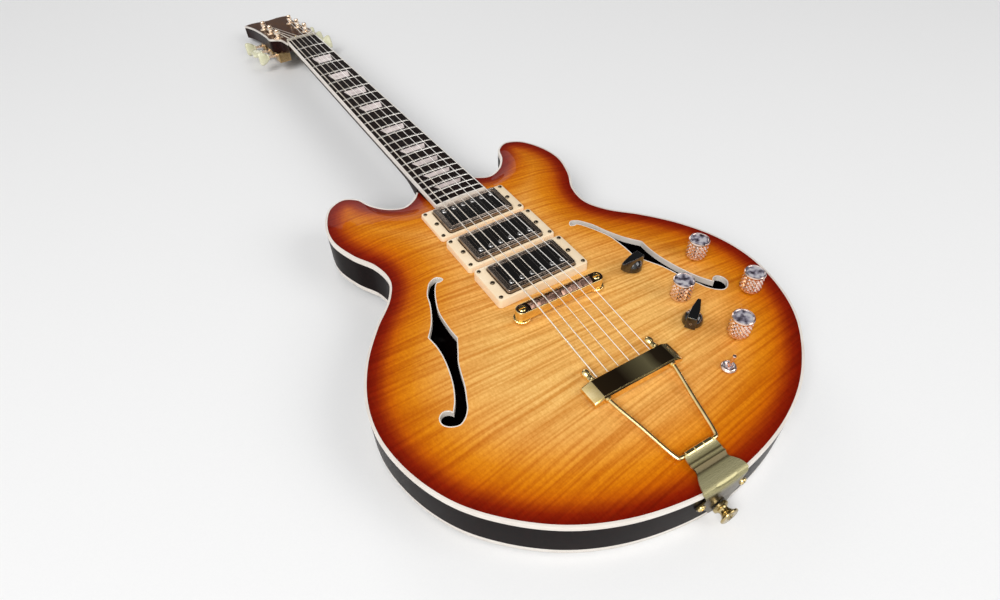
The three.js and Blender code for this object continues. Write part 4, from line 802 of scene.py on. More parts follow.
def pearl_look():
    shell = Finish("inlay_pearl")
    values = {"Vector": shell.place(60, 150, 60), "Scale": 1.0, "Smoothness": 0.7}
    warp = shell.node("ShaderNodeTexVoronoi", {"feature": "SMOOTH_F1"}, values, "Distance")
    swirl = shell.noise(shell.place(110, 260, 110), 1.0, 4, 0.6)
    tone = shell.ramp(warp * 0.5 + swirl * 0.6, [
        (0.30, 146, 132, 128), (0.46, 178, 162, 158), (0.60, 200, 184, 180), (0.78, 158, 146, 144)])
    return shell.surface(Base_Color=tone, Roughness=shell.span(swirl, 0.3, 0.7, 0.14, 0.3), Coat_Weight=0.5,
                         Coat_Roughness=0.05, Metallic=shell.span(warp, 0.1, 0.8, 0.0, 0.35))


string_wound, pearl = wound_look(), pearl_look()
print(len(bpy.data.materials), "finishes mixed")

# %% [markdown]
# ## The body
# ### The top with its f-holes
# An f-hole has two round eyes, a narrow stem and a pair of sharp nicks at its middle. Its outline is kept
# sharp at the nicks and at the inner corner of the lower eye. The holes and the pockets of the pickups are
# cut with a boolean, and only then does each point learn its distance from the rim.
# %% The outline of an f-hole
f_shares = [
    (0, 0.962), (0.021, 0.986), (0.07, 1), (0.161, 0.983), (0.224, 0.945), (0.28, 0.897), (0.329, 0.815),
    (0.399, 0.733), (0.476, 0.664), (0.587, 0.592), (0.573, 0.514), (0.58, 0.432), (0.608, 0.349),
    (0.65, 0.267), (0.699, 0.199), (0.769, 0.13), (0.839, 0.082), (0.874, 0.103), (0.937, 0.111),
    (0.993, 0.089), (1, 0.048), (0.937, 0.014), (0.853, 0), (0.776, 0.017), (0.699, 0.058), (0.643, 0.116),
    (0.58, 0.188), (0.531, 0.267), (0.476, 0.349), (0.413, 0.408), (0.315, 0.503), (0.322, 0.568),
    (0.317, 0.651), (0.301, 0.733), (0.259, 0.801), (0.196, 0.877), (0.126, 0.938), (0.091, 0.955),
    (0.042, 0.952)]
F_ACROSS, F_BACK, F_WIDTH, F_LENGTH = 69.0, -63.0, 71.5, 146.0
SHARP = [9, 16, 30]
f_points = [Vector((F_ACROSS + F_WIDTH * x, F_BACK + F_LENGTH * y)) for x, y in f_shares]
f_loop = smooth_loop(f_points, SHARP, 5)
if sum(a.x * b.y - b.x * a.y for a, b in zip(f_loop, f_loop[1:] + f_loop[:1])) < 0:
    f_loop.reverse()
f_holes = {"treble": f_loop, "bass": flipped(f_loop)}
print("an f-hole has", len(f_loop), "points")

# %% Carve the top
PICKUP_Y = (143.497, 92.348, 41.2)
POCKET_X, POCKET_Y, CUT_LOW, CUT_HIGH = 36.1, 20, 30, 60
cutters = Form()
for hole in f_holes.values():
    cutters.add(prism(hole, CUT_LOW, CUT_HIGH))
for y in PICKUP_Y:
    cutters.add(block(-POCKET_X, POCKET_X, y - POCKET_Y, y + POCKET_Y, CUT_LOW, CUT_HIGH))
maple_top = build("maple_top", cut(top_form, cutters), maple, stands_for=["body_top"])
print("the top has", len(maple_top.data.vertices), "points")

# %% Each point's distance from the rim
to_guitar = GUITAR.inverted()
spots = np.array([(to_guitar @ v.co)[:2] for v in maple_top.data.vertices])
starts = np.array([p[:] for p in body_ring])
nearest = np.full(len(spots), 1e9)
for start, end in zip(starts, np.roll(starts, -1, 0)):
    run = end - start
    share = np.clip((spots - start) @ run / max(run @ run, 1e-9), 0, 1)
    nearest = np.minimum(nearest, np.linalg.norm(spots - start - share[:, None] * run, axis=1))
from_rim = maple_top.data.attributes.new("from_rim", "FLOAT", "POINT")
from_rim.data.foreach_set("value", (nearest / 100).astype(np.float32))
print("the middle of the top is", round(float(nearest.max()), 1), "mm from the rim")

# %% [markdown]
# ### Bindings, sides and back
# A binding is a strip of plastic let into a corner. Each strip is one profile carried round the outline, with
# its outer corner scraped round. The sides are bent thin, and a lining inside each edge gives the plates
# something to be glued to.
# %% Bindings, sides and back
LOW_EDGE, HIGH_EDGE = 9.45, 39.35
top_profile = [(0, HIGH_EDGE), (0, 43.45), (0.16, 43.84), (0.55, 44.0), (2.15, 44.05), (2.15, HIGH_EDGE)]
back_profile = [(0, LOW_EDGE), (0, 4.55), (0.16, 4.16), (0.55, 4.0), (2.15, 3.95), (2.15, LOW_EDGE)]
build("top_binding_strip", strip(body_ring, top_profile, False), cream,
      stands_for=["top_binding"])
build("back_binding_strip", strip(body_ring, back_profile), cream,
      stands_for=["back_binding"])


def band(outer, inner, low, high):
    return strip(body_ring, [(outer, low), (outer, high), (inner, high), (inner, low)])


sides_form = strip(body_ring, [(0, LOW_EDGE), (0, HIGH_EDGE), (3.2, HIGH_EDGE), (3.2, LOW_EDGE)])
for low, high in ((LOW_EDGE, 16.2), (32.6, HIGH_EDGE)):
    sides_form.add(band(3.25, 8.2, low, high))
# The linings and inner faces of the sides and back are dark as painted shade inside the body.
build("body_sides", sides_form, dark_wood, stands_for=["body_rims"])
build("back_plate", arched_plate(4.0, 0.0, 9.4, 5.4), dark_wood,
      stands_for=["body_back"])
for inner, look in (("centre_block", block_wood), ("truss_rod", steel)):
    frame["nodes"][inner].data.materials.clear()
    frame["nodes"][inner].data.materials.append(look)
print("the binding runs", round(sum((a - b).length for a, b in zip(body_ring, body_ring[1:]))), "mm")

# %% [markdown]
# ### Bound f-holes
# The f-holes are bound too. Their strip follows the arch, stands a hair above it and reaches through the
# whole top, so it also hides the cut edge of the wood.
# %% Bindings of the f-holes
def drape(ring, profile):
    """A strip along a hole in the top: pairs of inset and depth below the top's surface."""
    rows = [inset(ring, distance) for distance, depth in profile]
    return skin([[Vector((p.x, p.y, top_height(p.x, p.y) - depth)) for p, (distance, depth)
                  in zip(section, profile)] for section in zip(*rows)], looped=True)


lip = [(-0.5, 0.6), (-0.5, 0.0), (-0.38, -0.08), (0.28, -0.08), (0.42, 0.05)]
foot = [(0.38, TOP_THICK + 0.9), (-0.3, TOP_THICK + 0.9)]
for label, hole in f_holes.items():
    build(f"f_hole_binding_{label}", drape(hole, lip + foot), cream)
print("bound f-holes:", len(f_holes))

# %% [markdown]
# ## The neck
# The shaft is a row of rounded sections, deep at the heel and thin at the nut. Shaft and headstock are one
# piece of wood on the real object, so the last sections run on inside the headstock.
# %% The neck's shaft
BOARD_END = SCALE * 2 ** (-22 / 12) - 9.5
WOOD_TOP = -BOARD - 0.05
NUT_WIDTH, END_WIDTH = 42, 56


def board_half(y):
    return (NUT_WIDTH + (END_WIDTH - NUT_WIDTH) * (SCALE - y) / (SCALE - BOARD_END)) / 2


def neck_section(y, top_z, half, depth, fullness, steps=22):
    ring = []
    for k in range(steps + 1):
        c, s = math.cos(math.pi * k / steps), math.sin(math.pi * k / steps)
        x = math.copysign(abs(c) ** (2 / fullness), c)
        ring.append(Vector((half * x, y, top_z - depth * abs(s) ** (2 / fullness))))
    return ring


heel_start = JOIN + 0.3
depths = [(0, 41), (6.8, 38.5), (13.6, 32), (20.4, 25), (27.2, 20.1), (34, 18)]
depths = [(heel_start + back, depth) for back, depth in depths] + [(437, 15.75), (618, 13.5)]
neck_rings = []
for y, depth in smooth(depths, 5):
    share = min(1, (y - heel_start) / 60)
    neck_rings.append(neck_section(y, WOOD_TOP, board_half(y) - 0.05, depth, 2.4 - 0.2 * share))
neck_rings.append(neck_section(SCALE + NUT - 1, WOOD_TOP, 20.9, 13.6, 2.2))
to_neck = nut_place @ head_tilt
for y, depth, full in ((3, 11.6, 2.3), (12, 12.6, 2.5), (24, 13.6, 2.8), (40, 13.0, 3.0), (56, 11.0, 3.0)):
    neck_rings.append([to_neck @ p for p in neck_section(y, -2.75, 20.4, depth, full)])
tongue = block(-26.5, 26.5, BOARD_END + 1.0, heel_start + 4, -10.9, WOOD_TOP)
build("neck_shaft", skin(neck_rings).add(tongue), neck_wood, space=NECK,
      stands_for=["neck"])
print("the shaft has", len(neck_rings), "sections")

# %% [markdown]
# ### The headstock
# The headstock is a flat slab, faced with a dark veneer and bound. Its back is carved thin at the nut, so
# that it grows out of the round shaft. A small cover hides the nut of the truss rod.
# %% The headstock's wood, face and binding
head_side_shares = [(0.55, 0), (0.545, 0.1), (0.56, 0.19), (0.64, 0.225), (0.77, 0.255), (0.86, 0.285),
                    (0.825, 0.42), (0.815, 0.62), (0.86, 0.82), (0.95, 0.93), (1, 0.965)]
head_end_shares = [(1, 0.965), (0.78, 0.995), (0.52, 1), (0.25, 0.985), (0, 0.97)]
HEAD_HALF, HEAD_LENGTH, HEAD_BACK = 38, 202, -17.3
side_run, end_run = [smooth(spread(shares, HEAD_HALF, HEAD_LENGTH), 5)
                     for shares in (head_side_shares, head_end_shares)]
head_half = side_run + end_run[1:]
head_ring = head_half + flipped(head_half[:-1])
throat = [(-2, -20), (42, -20), (40, -17.4), (31, -17.1), (23, -16.1), (15, -14.2), (8, -11.9), (3, -10.0),
          (-2, -8.4)]
upright = Matrix(((0, 0, 1, 0), (1, 0, 0, 0), (0, 1, 0, 0), (0, 0, 0, 1)))
scoop = Form().add(prism(throat, -40, 40), upright)
build("headstock_wood", cut(prism(head_ring, HEAD_BACK, -2.5), scoop), neck_wood,
      space=HEAD, bevel=0.8)
face_ring = [p for p in inset(head_ring, 1.5) if p.y > 0.6]
build("headstock_plate", prism(face_ring, -2.45, 0.0), head_black, space=HEAD, bevel=0.15,
      stands_for=["headstock_face"])
head_profile = [(0, -2.5), (0, -0.35), (0.12, -0.1), (0.4, 0.02), (1.5, 0.04), (1.5, -2.5)]
build("headstock_binding", strip(head_ring, head_profile, False), cream, space=HEAD)
print("the headstock is", round(2 * max(p.x for p in head_ring)), "mm wide")

# %% The rod cover
cover_shares = [(0.45, 0.12), (0.75, 0.2), (1, 0.42), (0.8, 0.66), (0.42, 0.86), (0, 1)]
cover_half = smooth(spread(cover_shares, 12, 34), 5)
rod_cover = prism(cover_half + flipped(cover_half[:-1]), 0.1, 1.7)
build("rod_cover", rod_cover, cover_black, space=HEAD, bevel=0.5,
      stands_for=["truss_rod_cover"])
print("the rod cover is", round(2 * max(p.x for p in cover_half)), "mm wide")

# %% [markdown]
# ### Fingerboard and its binding
# The fingerboard is a slab whose top is part of a wide cylinder. A cream strip runs along both sides and
# across the end at the body. Each is a row of sections, so it can follow the cylinder and the taper at once.
# %% The fingerboard
def board_top(x, radius=305):
    return -x * x / (2 * radius)


slab = []
for y in (BOARD_END + 1.5, SCALE):
    half = board_half(y) - 1.5
    slab.append([(x, y, board_top(x)) for x in evenly(half, 16)] + [(-half, y, -BOARD), (half, y, -BOARD)])
build("fingerboard_wood", skin(slab), board_wood, space=NECK, stands_for=["fingerboard"])
print("the board ends", round(BOARD_END, 1), "mm from the bridge line")

# %% The binding of the fingerboard
binding = Form()
for side in (1, -1):
    rings = []
    for k in range(25):
        y = BOARD_END + (SCALE - BOARD_END) * k / 24
        half = board_half(y)
        z = board_top(half)
        profile = [(half, -BOARD), (half, z - 0.5), (half - 0.15, z - 0.12), (half - 0.5, z + 0.02),
                   (half - 1.52, z + 0.06), (half - 1.52, -BOARD)]
        rings.append([(side * x, y, height) for x, height in profile])
    binding.add(skin(rings))
rings = []
for x in evenly(board_half(BOARD_END), 16):
    z = board_top(x)
    profile = [(0, -BOARD), (0, z - 0.45), (0.15, z - 0.1), (0.5, z + 0.02), (1.55, z + 0.04),
               (1.55, -BOARD)]
    rings.append([(x, BOARD_END + depth, height) for depth, height in profile])
binding.add(skin(rings))
build("fingerboard_binding_strip", binding, cream, space=NECK,
      stands_for=["fingerboard_binding"])
print("the binding has", len(binding.faces), "faces")

# %% [markdown]
# ### Frets, inlays and nut
# Frets are wire with a round crown, one for each half tone. The distance to the bridge shrinks from one to
# the next by the same factor, the twelfth root of a half. Trapezoid inlays mark some of the places between
# them. The nut is a bar with a slot for each string.
# %% Frets
FRET_HALF, FRET_TALL, FRET_END = 1.1, 1.1, 0.5
fret_y = [SCALE * 2 ** (-n / 12) for n in range(23)]
frets = Form()
for y in fret_y[1:]:
    rings = []
    for k, x in enumerate(evenly(board_half(y) - 1.6, 18)):
        tall = FRET_TALL if 0 < k < 18 else FRET_END
        base = board_top(x)
        arc = [(FRET_HALF * math.cos(math.pi * j / 8), tall * math.sin(math.pi * j / 8)) for j in range(9)]
        arc += [(-FRET_HALF, -0.6), (FRET_HALF, -0.6)]
        rings.append([(x, y + a, base + b) for a, b in arc])
    frets.add(skin(rings))
build("frets", frets, fret_metal, space=NECK)
print("frets:", len(fret_y) - 1)

# %% Inlays
inlays = Form()
for n in (3, 5, 7, 9, 12, 15, 17, 19, 21):
    near, far = fret_y[n] + FRET_HALF, fret_y[n - 1] - FRET_HALF
    margin = (far - near) * 0.16
    near, far = near + margin, far - margin
    half = board_half((near + far) / 2)
    rings = []
    for share in evenly(1, 12):
        ends = [(near, half * 0.43), (far, half * 0.56)]
        ring = [(width * share, y, board_top(width * share) + 0.06) for y, width in ends]
        rings.append(ring + [(x, y, z - 0.8) for x, y, z in reversed(ring)])
    inlays.add(skin(rings))
build("inlays", inlays, pearl, space=NECK, crease=20)
print("the inlays have", len(inlays.faces), "faces")

# %% The nut
DIAMETERS = (0.254, 0.33, 0.432, 0.66, 0.914, 1.168)
NUT_SPACING = 7
nut_x = [17.5 - NUT_SPACING * index for index in range(6)]
nut_rings = []
for k, x in enumerate(evenly(20.95, 60)):
    slotted = any(abs(x - middle) < thick / 2 + 0.25 for middle, thick in zip(nut_x, DIAMETERS))
    tall = 2.4 - (0.9 if slotted else 0) - (0.5 if k in (0, 60) else 0)
    section = [(0.1, -BOARD), (0.1, tall - 0.5), (0.7, tall), (3.4, tall - 0.2), (4.8, tall - 1.6),
               (4.8, -BOARD)]
    nut_rings.append([(x, SCALE + back, z) for back, z in section])
# The nut's grey tone is painted shade.
build("nut_bar", skin(nut_rings), bone_greyed_by_painted_shade, space=NECK, crease=50, stands_for=["nut"])
print("the nut's slots lie", NUT_SPACING, "mm apart")

# %% [markdown]
# ## Screws
# Every screw is the same turned head with a recess cut into it once, then copied at its own size. A cross
# recess holds the rings, the bracket and the rod cover, and a straight slot marks the screws under the
# strings.
# %% Screw heads
def screw_head(*slots):
    head = lathe([(0.94, -0.5), (1, 0.05), (0.97, 0.2), (0.8, 0.4), (0.5, 0.52), (0.1, 0.56)], 20)
    for slot in slots:
        head = cut(head, Form().add(block(-0.72, 0.72, -0.14, 0.14, 0.12, 2), spin(slot)))
    return head


CROSS = screw_head(0.35, 0.35 + QUARTER)
SLOT = screw_head(0.9)
OUT_OF_TAIL = spin(QUARTER, "X")


def at(x, y, z, size=1.0, turn=None):
    place = move(x, y, z) @ Matrix.Scale(size, 4)
    return place @ turn if turn else place


print("a cross head has", len(CROSS.faces), "faces")

# %% Screws of the rod cover
cover_holes = ((0, 29.5), (6.6, 9.6), (-6.6, 9.6))
cover_screws = Form()
for x, y in cover_holes:
    cover_screws.add(CROSS, at(x, y, 1.75, 1.5))
build("rod_cover_screws", cover_screws, gold, HEAD, crease=30)
print("screws in the rod cover:", len(cover_holes))

# %% [markdown]
# ## Pickups
# A pickup hangs in a cream ring on two height screws, one in the middle of each short side. Four small
# screws hold the ring. The rings grow taller towards the bridge, because the strings do. A cover is pressed
# from sheet: its sides turn over a soft edge, two fine lines run round its border, and six pole screws
# stand along one long side. The heads of the height screws stay on the ring while the pickup climbs their
# thread, so they ride on the body.
# %% Rings and their screws
RING_HEIGHTS = (4.0, 6.5, 9.0)
RING_PLAN, WINDOW_PLAN = (92.0, 45.0, 3.2), (71.0, 38.8, 3)
CORNER_X, CORNER_Y, LIFT_X = 42.2, 18.4, 39.4
pickup_seats = [GUITAR @ move(0, y, CROWN) for y in PICKUP_Y]
for number, (seat, height) in enumerate(zip(pickup_seats, RING_HEIGHTS), 1):
    outer = [(0, 0.3), (0.25, height - 0.9), (0.5, height - 0.3), (1.0, height)]
    inner = [(-0.5, height), (0, height - 0.4), (0, 0.3)]
    rows = levels(rounded(*RING_PLAN), outer) + levels(rounded(*WINDOW_PLAN), inner)
    build(f"pickup_ring_cream_{number}", skin(rows, looped=True), ring_cream, seat,
          stands_for=[f"pickup_ring_{number}"])
    screws, lift_screws = Form(), Form()
    for side in (1, -1):
        for end in (1, -1):
            screws.add(CROSS, at(side * CORNER_X, end * CORNER_Y, height + 0.1, 1.9, spin(end)))
        lift_screws.add(CROSS, at(side * LIFT_X, 0, height + 0.15, 2.2, spin(side)))
    build(f"ring_screws_{number}", screws, screw_metal, seat, crease=30)
    build(f"height_screws_{number}", lift_screws, screw_metal, seat, crease=30)
print("the bridge pickup's ring is", RING_HEIGHTS[-1], "mm tall")

# %% Covers and pole screws
# The bridge pickup sits lower under its strings, so that it can still be raised by a millimetre
COVER_LIFTS, POLES_SUNK, POLE_Y = (3.5, 3.5, 2.9), (0.35, 0.35, 0.95), (9.3, -9.3, -9.3)
COVER_LENGTH, COVER_WIDTH, PLATE_MARGIN, POLE_SPACING = 69.6, 37.4, 10.9, 10.4
cover_profile = [(0, -19), (0, -1.0), (0.15, -0.5), (0.45, -0.15), (0.9, 0), (2.1, 0), (2.3, -0.3),
                 (2.6, -0.3), (2.8, 0), (4.0, 0), (4.2, -0.3), (4.5, -0.3), (4.7, -0.05), (5.2, -0.05),
                 (5.4, -0.5), (6.5, -0.5)]
for index, seat in enumerate(pickup_seats):
    number, body = index + 1, f"pickup_{index + 1}"
    top = RING_HEIGHTS[index] + COVER_LIFTS[index]
    rows = levels(rounded(COVER_LENGTH, COVER_WIDTH, 3), [(depth, top + z) for depth, z in cover_profile])
    build(f"pickup_cover_{number}", skin(rows), nickel, seat, body, crease=30,
          stands_for=[f"humbucker_{number}"])
    plate = rounded(COVER_LENGTH - PLATE_MARGIN, COVER_WIDTH - PLATE_MARGIN, 1.2)
    # A dark plate fills the cover's middle as a painted reflection.
    build(f"pickup_painted_reflection_plate_{number}", prism(plate, top - 0.6, top - 0.12), pickup_plate_painted_reflection, seat, body,
          bevel=0.12)
    poles = Form()
    for k in range(6):
        x, z = 26 - POLE_SPACING * k, top - POLES_SUNK[index]
        poles.add(SLOT, at(x, POLE_Y[index], z, 2.7, spin(k * 1.3)))
    build(f"pole_screws_{number}", poles, steel, seat, body, crease=30)
print("the pole screws lie", POLE_SPACING, "mm apart")

# %% [markdown]
# ## The bridge
# The bar is milled out along its middle, and six saddles sit in the trough, each on its own long screw, so
# that every string can have its own length. Two studs with knurled wheels carry the bar. The wheels are
# lathe work with small scallops round their edge.
# %% The bridge bar
BRIDGE_BACK, BRIDGE_TURN = 1.8, math.radians(-1.2)
BRIDGE = GUITAR @ move(0, -BRIDGE_BACK, CROWN) @ spin(BRIDGE_TURN)
BAR_LENGTH, BAR_WIDTH, BAR_LOW, BAR_TOP, STUD_X = 85, 11.5, 3.8, 13.3, 36.8
bar_rows = [(0.5, BAR_LOW), (0, BAR_LOW + 0.6), (0, BAR_TOP - 0.7), (0.2, BAR_TOP - 0.25), (0.7, BAR_TOP)]
openings = block(-31.5, 31.5, -4.7, 4.7, 8.5, 20)
for side in (1, -1):
    openings.add(prism([(x + side * STUD_X, y) for x, y in rounded(6.8, 6.8, 3.35)], -1, 20))
bar_form = cut(skin(levels(rounded(BAR_LENGTH, BAR_WIDTH, 5.3, 8), bar_rows)), openings)
# Its flat top faces get the painted dark reflection; the rest of the bar is gold.
build("bridge_bar", bar_form, gold, BRIDGE, bevel=0.15, stands_for=["bridge"],
      top_look=bridge_top_painted_reflection)
print("the bar is", round(BAR_TOP - BAR_LOW, 1), "mm tall")

# %% Saddles and their screws
STRING_Z = CROWN + 15.5
SADDLE_SPACING, SADDLE_HALF = 10.2, 4.85
set_back_shares = (0.42, 0.3, 0.16, 0.36, 0.24, 0.06)
to_bridge = spin(-BRIDGE_TURN) @ move(0, BRIDGE_BACK, -CROWN)


def saddle_point(index):
    x = 25.5 - SADDLE_SPACING * index
    y = x * math.tan(BRIDGE_TURN) - BRIDGE_BACK + (set_back_shares[index] - 0.25) * BAR_WIDTH * 0.7
    return Vector((x, y, STRING_Z))


saddles, saddle_screws = Form(), Form()
for index, thick in enumerate(DIAMETERS):
    x, y, z = to_bridge @ saddle_point(index)
    peak = z - thick / 2 - 0.1
    rows = []
    for k, off in enumerate(reversed(evenly(SADDLE_HALF, 8))):
        dip = 0.35 if k == 4 else 0
        section = [(-4.5, 8.9), (-4.5, 12.4), (-3.4, 13.3), (y - 0.9, peak - 0.6 - dip), (y, peak - dip),
                   (y + 0.5, peak - dip), (3.6, 12.9), (4.4, 12.2), (4.5, 8.9)]
        rows.append([(x + off, along, height) for along, height in section])
    saddles.add(skin(rows))
    saddle_screws.add(lathe([(1.0, -4.3), (1.0, 4.3)], 10), at(x - 1.0, 0, 10.9, 1, OUT_OF_TAIL))
    saddle_screws.add(SLOT, at(x - 1.0, -4.2, 10.9, 1.7, OUT_OF_TAIL))
build("saddles", saddles, saddle_metal, BRIDGE, bevel=0.12, crease=25)
build("saddle_screws", saddle_screws, gold, BRIDGE)
print("saddles stand", round(saddle_point(0).z, 1), "mm above the back")


# %% Studs and wheels
def scalloped(radius, low, high, count, depth):
    rings = []
    for inset_by, z in ((0.4, low), (0, low + 0.3), (0, high - 0.3), (0.4, high)):
        ring = []
        for k, (c, s) in enumerate(spokes(count * 4)):
            r = radius - inset_by - depth * (1 - abs(math.cos(TURN * k / 8)))
            ring.append((r * c, r * s, z))
        rings.append(ring)
    return skin(rings)


for side, label in ((1, "treble"), (-1, "bass")):
    stud = lathe([(3.1, -16), (3.1, BAR_TOP - 0.5), (2.6, BAR_TOP)], 24)
    stud = cut(stud, block(-5, 5, -0.45, 0.45, BAR_TOP - 1.4, 20))
    stud.add(scalloped(7.5, 0.9, 3.5, 20, 0.5))
    stud.add(lathe([(5.2, 0.0), (5.4, 0.3), (5.4, 0.7), (5.0, 0.95)], 32))
    build(f"bridge_stud_{label}", stud, gold, BRIDGE @ move(side * STUD_X, 0),
          stands_for=[f"bridge_post_{label}"])
print("the studs stand", 2 * STUD_X, "mm apart")

# %% [markdown]
# ## The tailpiece
# Strings end in a bar with sloping ends. Two rods run from it to a hinged bracket that folds over the end of
# the body and is screwed to the side, so the strings' pull goes round the arched top and not into it.
# %% The bar
TAIL_FRONT, TAIL_BACK, TAIL_LOW, TAIL_HIGH = -88.0, -106.0, CROWN + 3, CROWN + 11
knee = TAIL_LOW + 8 * 0.48
bar_sections = []
for y, drop in ((TAIL_FRONT, 0.4), (TAIL_FRONT - 0.5, 0), (TAIL_BACK + 1.4, 0), (TAIL_BACK + 1.0, 0.5),
                (TAIL_BACK + 1.0, 1.5), (TAIL_BACK, 1.6)):
    high = TAIL_HIGH - drop
    bent = knee - drop * 0.4
    half = [(41.5, TAIL_LOW), (41.5, bent), (40.8, bent + 0.6), (33.4, high - 0.15), (32.6, high)]
    bar_sections.append([(x, y, z) for x, z in half] + [(-x, y, z) for x, z in reversed(half)])
# The bar's flat top takes the plate finish with its painted reflection.
build("tail_bar", skin(bar_sections), gold, bevel=0.25, crease=25,
      stands_for=["tailpiece_bar"], top_look=bar_plate)
print("the bar is", round(TAIL_FRONT - TAIL_BACK), "mm long and", round(TAIL_HIGH - TAIL_LOW), "mm tall")

# %% The rods with their nuts
ROD_X, ROD_Z, ROD_RADIUS = 30.5, (TAIL_LOW + TAIL_HIGH) / 2, 1.75
HINGE_Y, HINGE_Z = -168.5, 49.0
ball_nut = [(ROD_RADIUS, 0), (3.6, 0.2), (3.7, 0.9), (3.3, 1.4), (3.1, 3.2), (2.9, 5.0), (2.6, 5.8),
            (2.7, 6.3), (3.3, 7.1), (3.7, 8.4), (3.75, 9.6), (3.4, 11.2), (2.3, 12.6), (0.8, 13.2)]
collar = [(3.0, 0), (3.1, 0.5), (3.1, 1.6), (2.0, 2.0)]
straight_end = TAIL_BACK - 2
bend = smooth([(ROD_X, TAIL_BACK + 4), (ROD_X, straight_end), (24.6, -136), (18.6, HINGE_Y + 3.5),
               (17.2, HINGE_Y + 0.6), (14.0, HINGE_Y)], 6)
rods = Form()
for side in (1, -1):
    path = []
    for p in bend:
        share = min(1, max(0, (straight_end - p.y) / (straight_end - HINGE_Y)))
        path.append((side * p.x, p.y, ROD_Z + (HINGE_Z - ROD_Z) * share))
    rods.add(tube(path, ROD_RADIUS, 14))
    rods.add(lathe(ball_nut, 24), move(side * ROD_X, TAIL_FRONT, ROD_Z) @ spin(-QUARTER, "X"))
    rods.add(lathe(collar, 20), move(side * ROD_X, TAIL_BACK - 0.1, ROD_Z) @ OUT_OF_TAIL)
build("tail_rods", rods, gold, stands_for=["tailpiece_rods"])
print("each rod bends through", len(bend), "points")

# %% [markdown]
# ### The hinged bracket
# The bracket is a sheet: its width and its height change along the fold, and its apron follows the curve of
# the body's end. It is laid out as rows of points across the sheet, once for each face. The hinge is a
# barrel of three knuckles on one pin.
# %% The bracket
SHEET, APRON_STEP = 1.5, 0.4
fold = [(-168.6, 51.6, 12.2), (-169.8, 51.2, 13.6), (-171.6, 50.4, 14.4), (-173.6, 50.0, 14.6),
        (-176.4, 49.8, 14.6), (-177.0, 49.0, 14.6), (-177.8, 49.0, 14.6), (-178.4, 49.8, 14.6),
        (-179.8, 49.8, 14.6), (-180.6, 49.3, 14.2), (-182.4, 48.0, 14.0), (-184.2, 47.5, 14.8),
        (-186.6, 47.7, 16.6), (-189.6, 48.1, 18.4), (-192.6, 48.0, 19.6), (-195.2, 47.4, 20.2),
        (-196.8, 46.8, 20.3)]
apron_fold = [(-0.2, 46.0, 20.0), (0.9, 44.6, 20.0), (1.35, 42.6, 19.4), (1.4, 38.4, 17.8), (1.4, 35.2, 17.6),
              (1.4, 32.8, 20.4), (1.4, 31.0, 22.8), (1.4, 28.4, 23.4), (1.4, 26.2, 22.4), (1.4, 24.0, 17.0),
              (1.4, 19.4, 12.4), (1.4, 14.5, 10.4), (1.4, 12.0, 8.6), (1.4, 11.3, 5.0)]
tail_edge = sorted((p.x, p.y) for p in body_ring if p.y < -120)


def end_of_body(x):
    return float(np.interp(x, [p[0] for p in tail_edge], [p[1] for p in tail_edge]))


def bracket_face(below):
    """Rows across one face of the sheet; below is 0 for the upper face and 1 for the lower."""
    rows = [[(x, y, z - SHEET * below) for x in evenly(half, 16)] for y, z, half in fold]
    for out, z, half in apron_fold:
        depth = out + APRON_STEP - (SHEET - APRON_STEP) * below
        drop = SHEET * below if out < 1 else 0
        rows.append([(x, end_of_body(x) - depth, z - drop) for x in evenly(half, 16)])
    return rows


rings = [upper + lower[::-1] for upper, lower in zip(bracket_face(0), bracket_face(1))]
# The bracket's light and dark bands are painted reflections.
build("tail_bracket", skin(rings), bracket_gold, crease=28, stands_for=["tailpiece_bracket"])
print("the bracket reaches down to", apron_fold[-1][1], "mm")

# %% The hinge and the bracket's screws
HINGE_R, PIN_END, BRACKET_SCREW_X = 2.7, 15.6, 19.4
barrel = Form()
for low, high in ((-12.0, -4.2), (-4.0, 4.0), (4.2, 12.0)):
    barrel.add(lathe([(HINGE_R - 0.4, low), (HINGE_R, low + 0.4), (HINGE_R, high - 0.4),
                      (HINGE_R - 0.4, high)], 24))
barrel.add(lathe([(0.9, -PIN_END), (1.5, 0.4 - PIN_END), (1.5, PIN_END - 0.4), (0.9, PIN_END)], 16))
sideways = move(0, HINGE_Y, HINGE_Z) @ spin(QUARTER, "Y")
build("hinge_barrel", barrel, gold, GUITAR @ sideways)
bracket_screws = Form()
for side in (1, -1):
    x = side * BRACKET_SCREW_X
    place = move(x, end_of_body(x) - 2.0, 29.2) @ spin(side * 0.11) @ OUT_OF_TAIL @ Matrix.Scale(3.1, 4)
    bracket_screws.add(CROSS, place)
build("bracket_screws", bracket_screws, gold, crease=30)
print("the hinge is", 2 * PIN_END, "mm wide")

# %% [markdown]
# ### Strap buttons
# Two turned buttons hold the strap, one on the end of the body and one on the heel. The waist keeps the strap
# on. Both come from one profile on the lathe, and only their places differ.
# %% Strap buttons
strap_profile = [(6.0, 0), (6.3, 0.4), (6.3, 2.0), (5.9, 2.5), (4.4, 3.2), (3.8, 4.2), (3.8, 5.4), (4.6, 7.0),
                 (6.4, 8.4), (7.6, 9.1), (7.8, 9.7), (7.5, 10.4), (6.6, 10.8), (3.2, 10.6), (2.9, 10.2)]
strap_places = {"tail": GUITAR @ move(0, -199.9, 16) @ OUT_OF_TAIL,
                "heel": NECK @ move(0, JOIN + 34 * 0.22, -47.6) @ spin(math.pi, "X")}
for label, space in strap_places.items():
    form = lathe(strap_profile, 40).add(CROSS, at(0, 0, 10.0, 2.8))
    build(f"strap_button_gold_{label}", form, strap_gold, space, crease=30,
          stands_for=[f"strap_button_{label}"])
print("strap buttons:", len(strap_places))

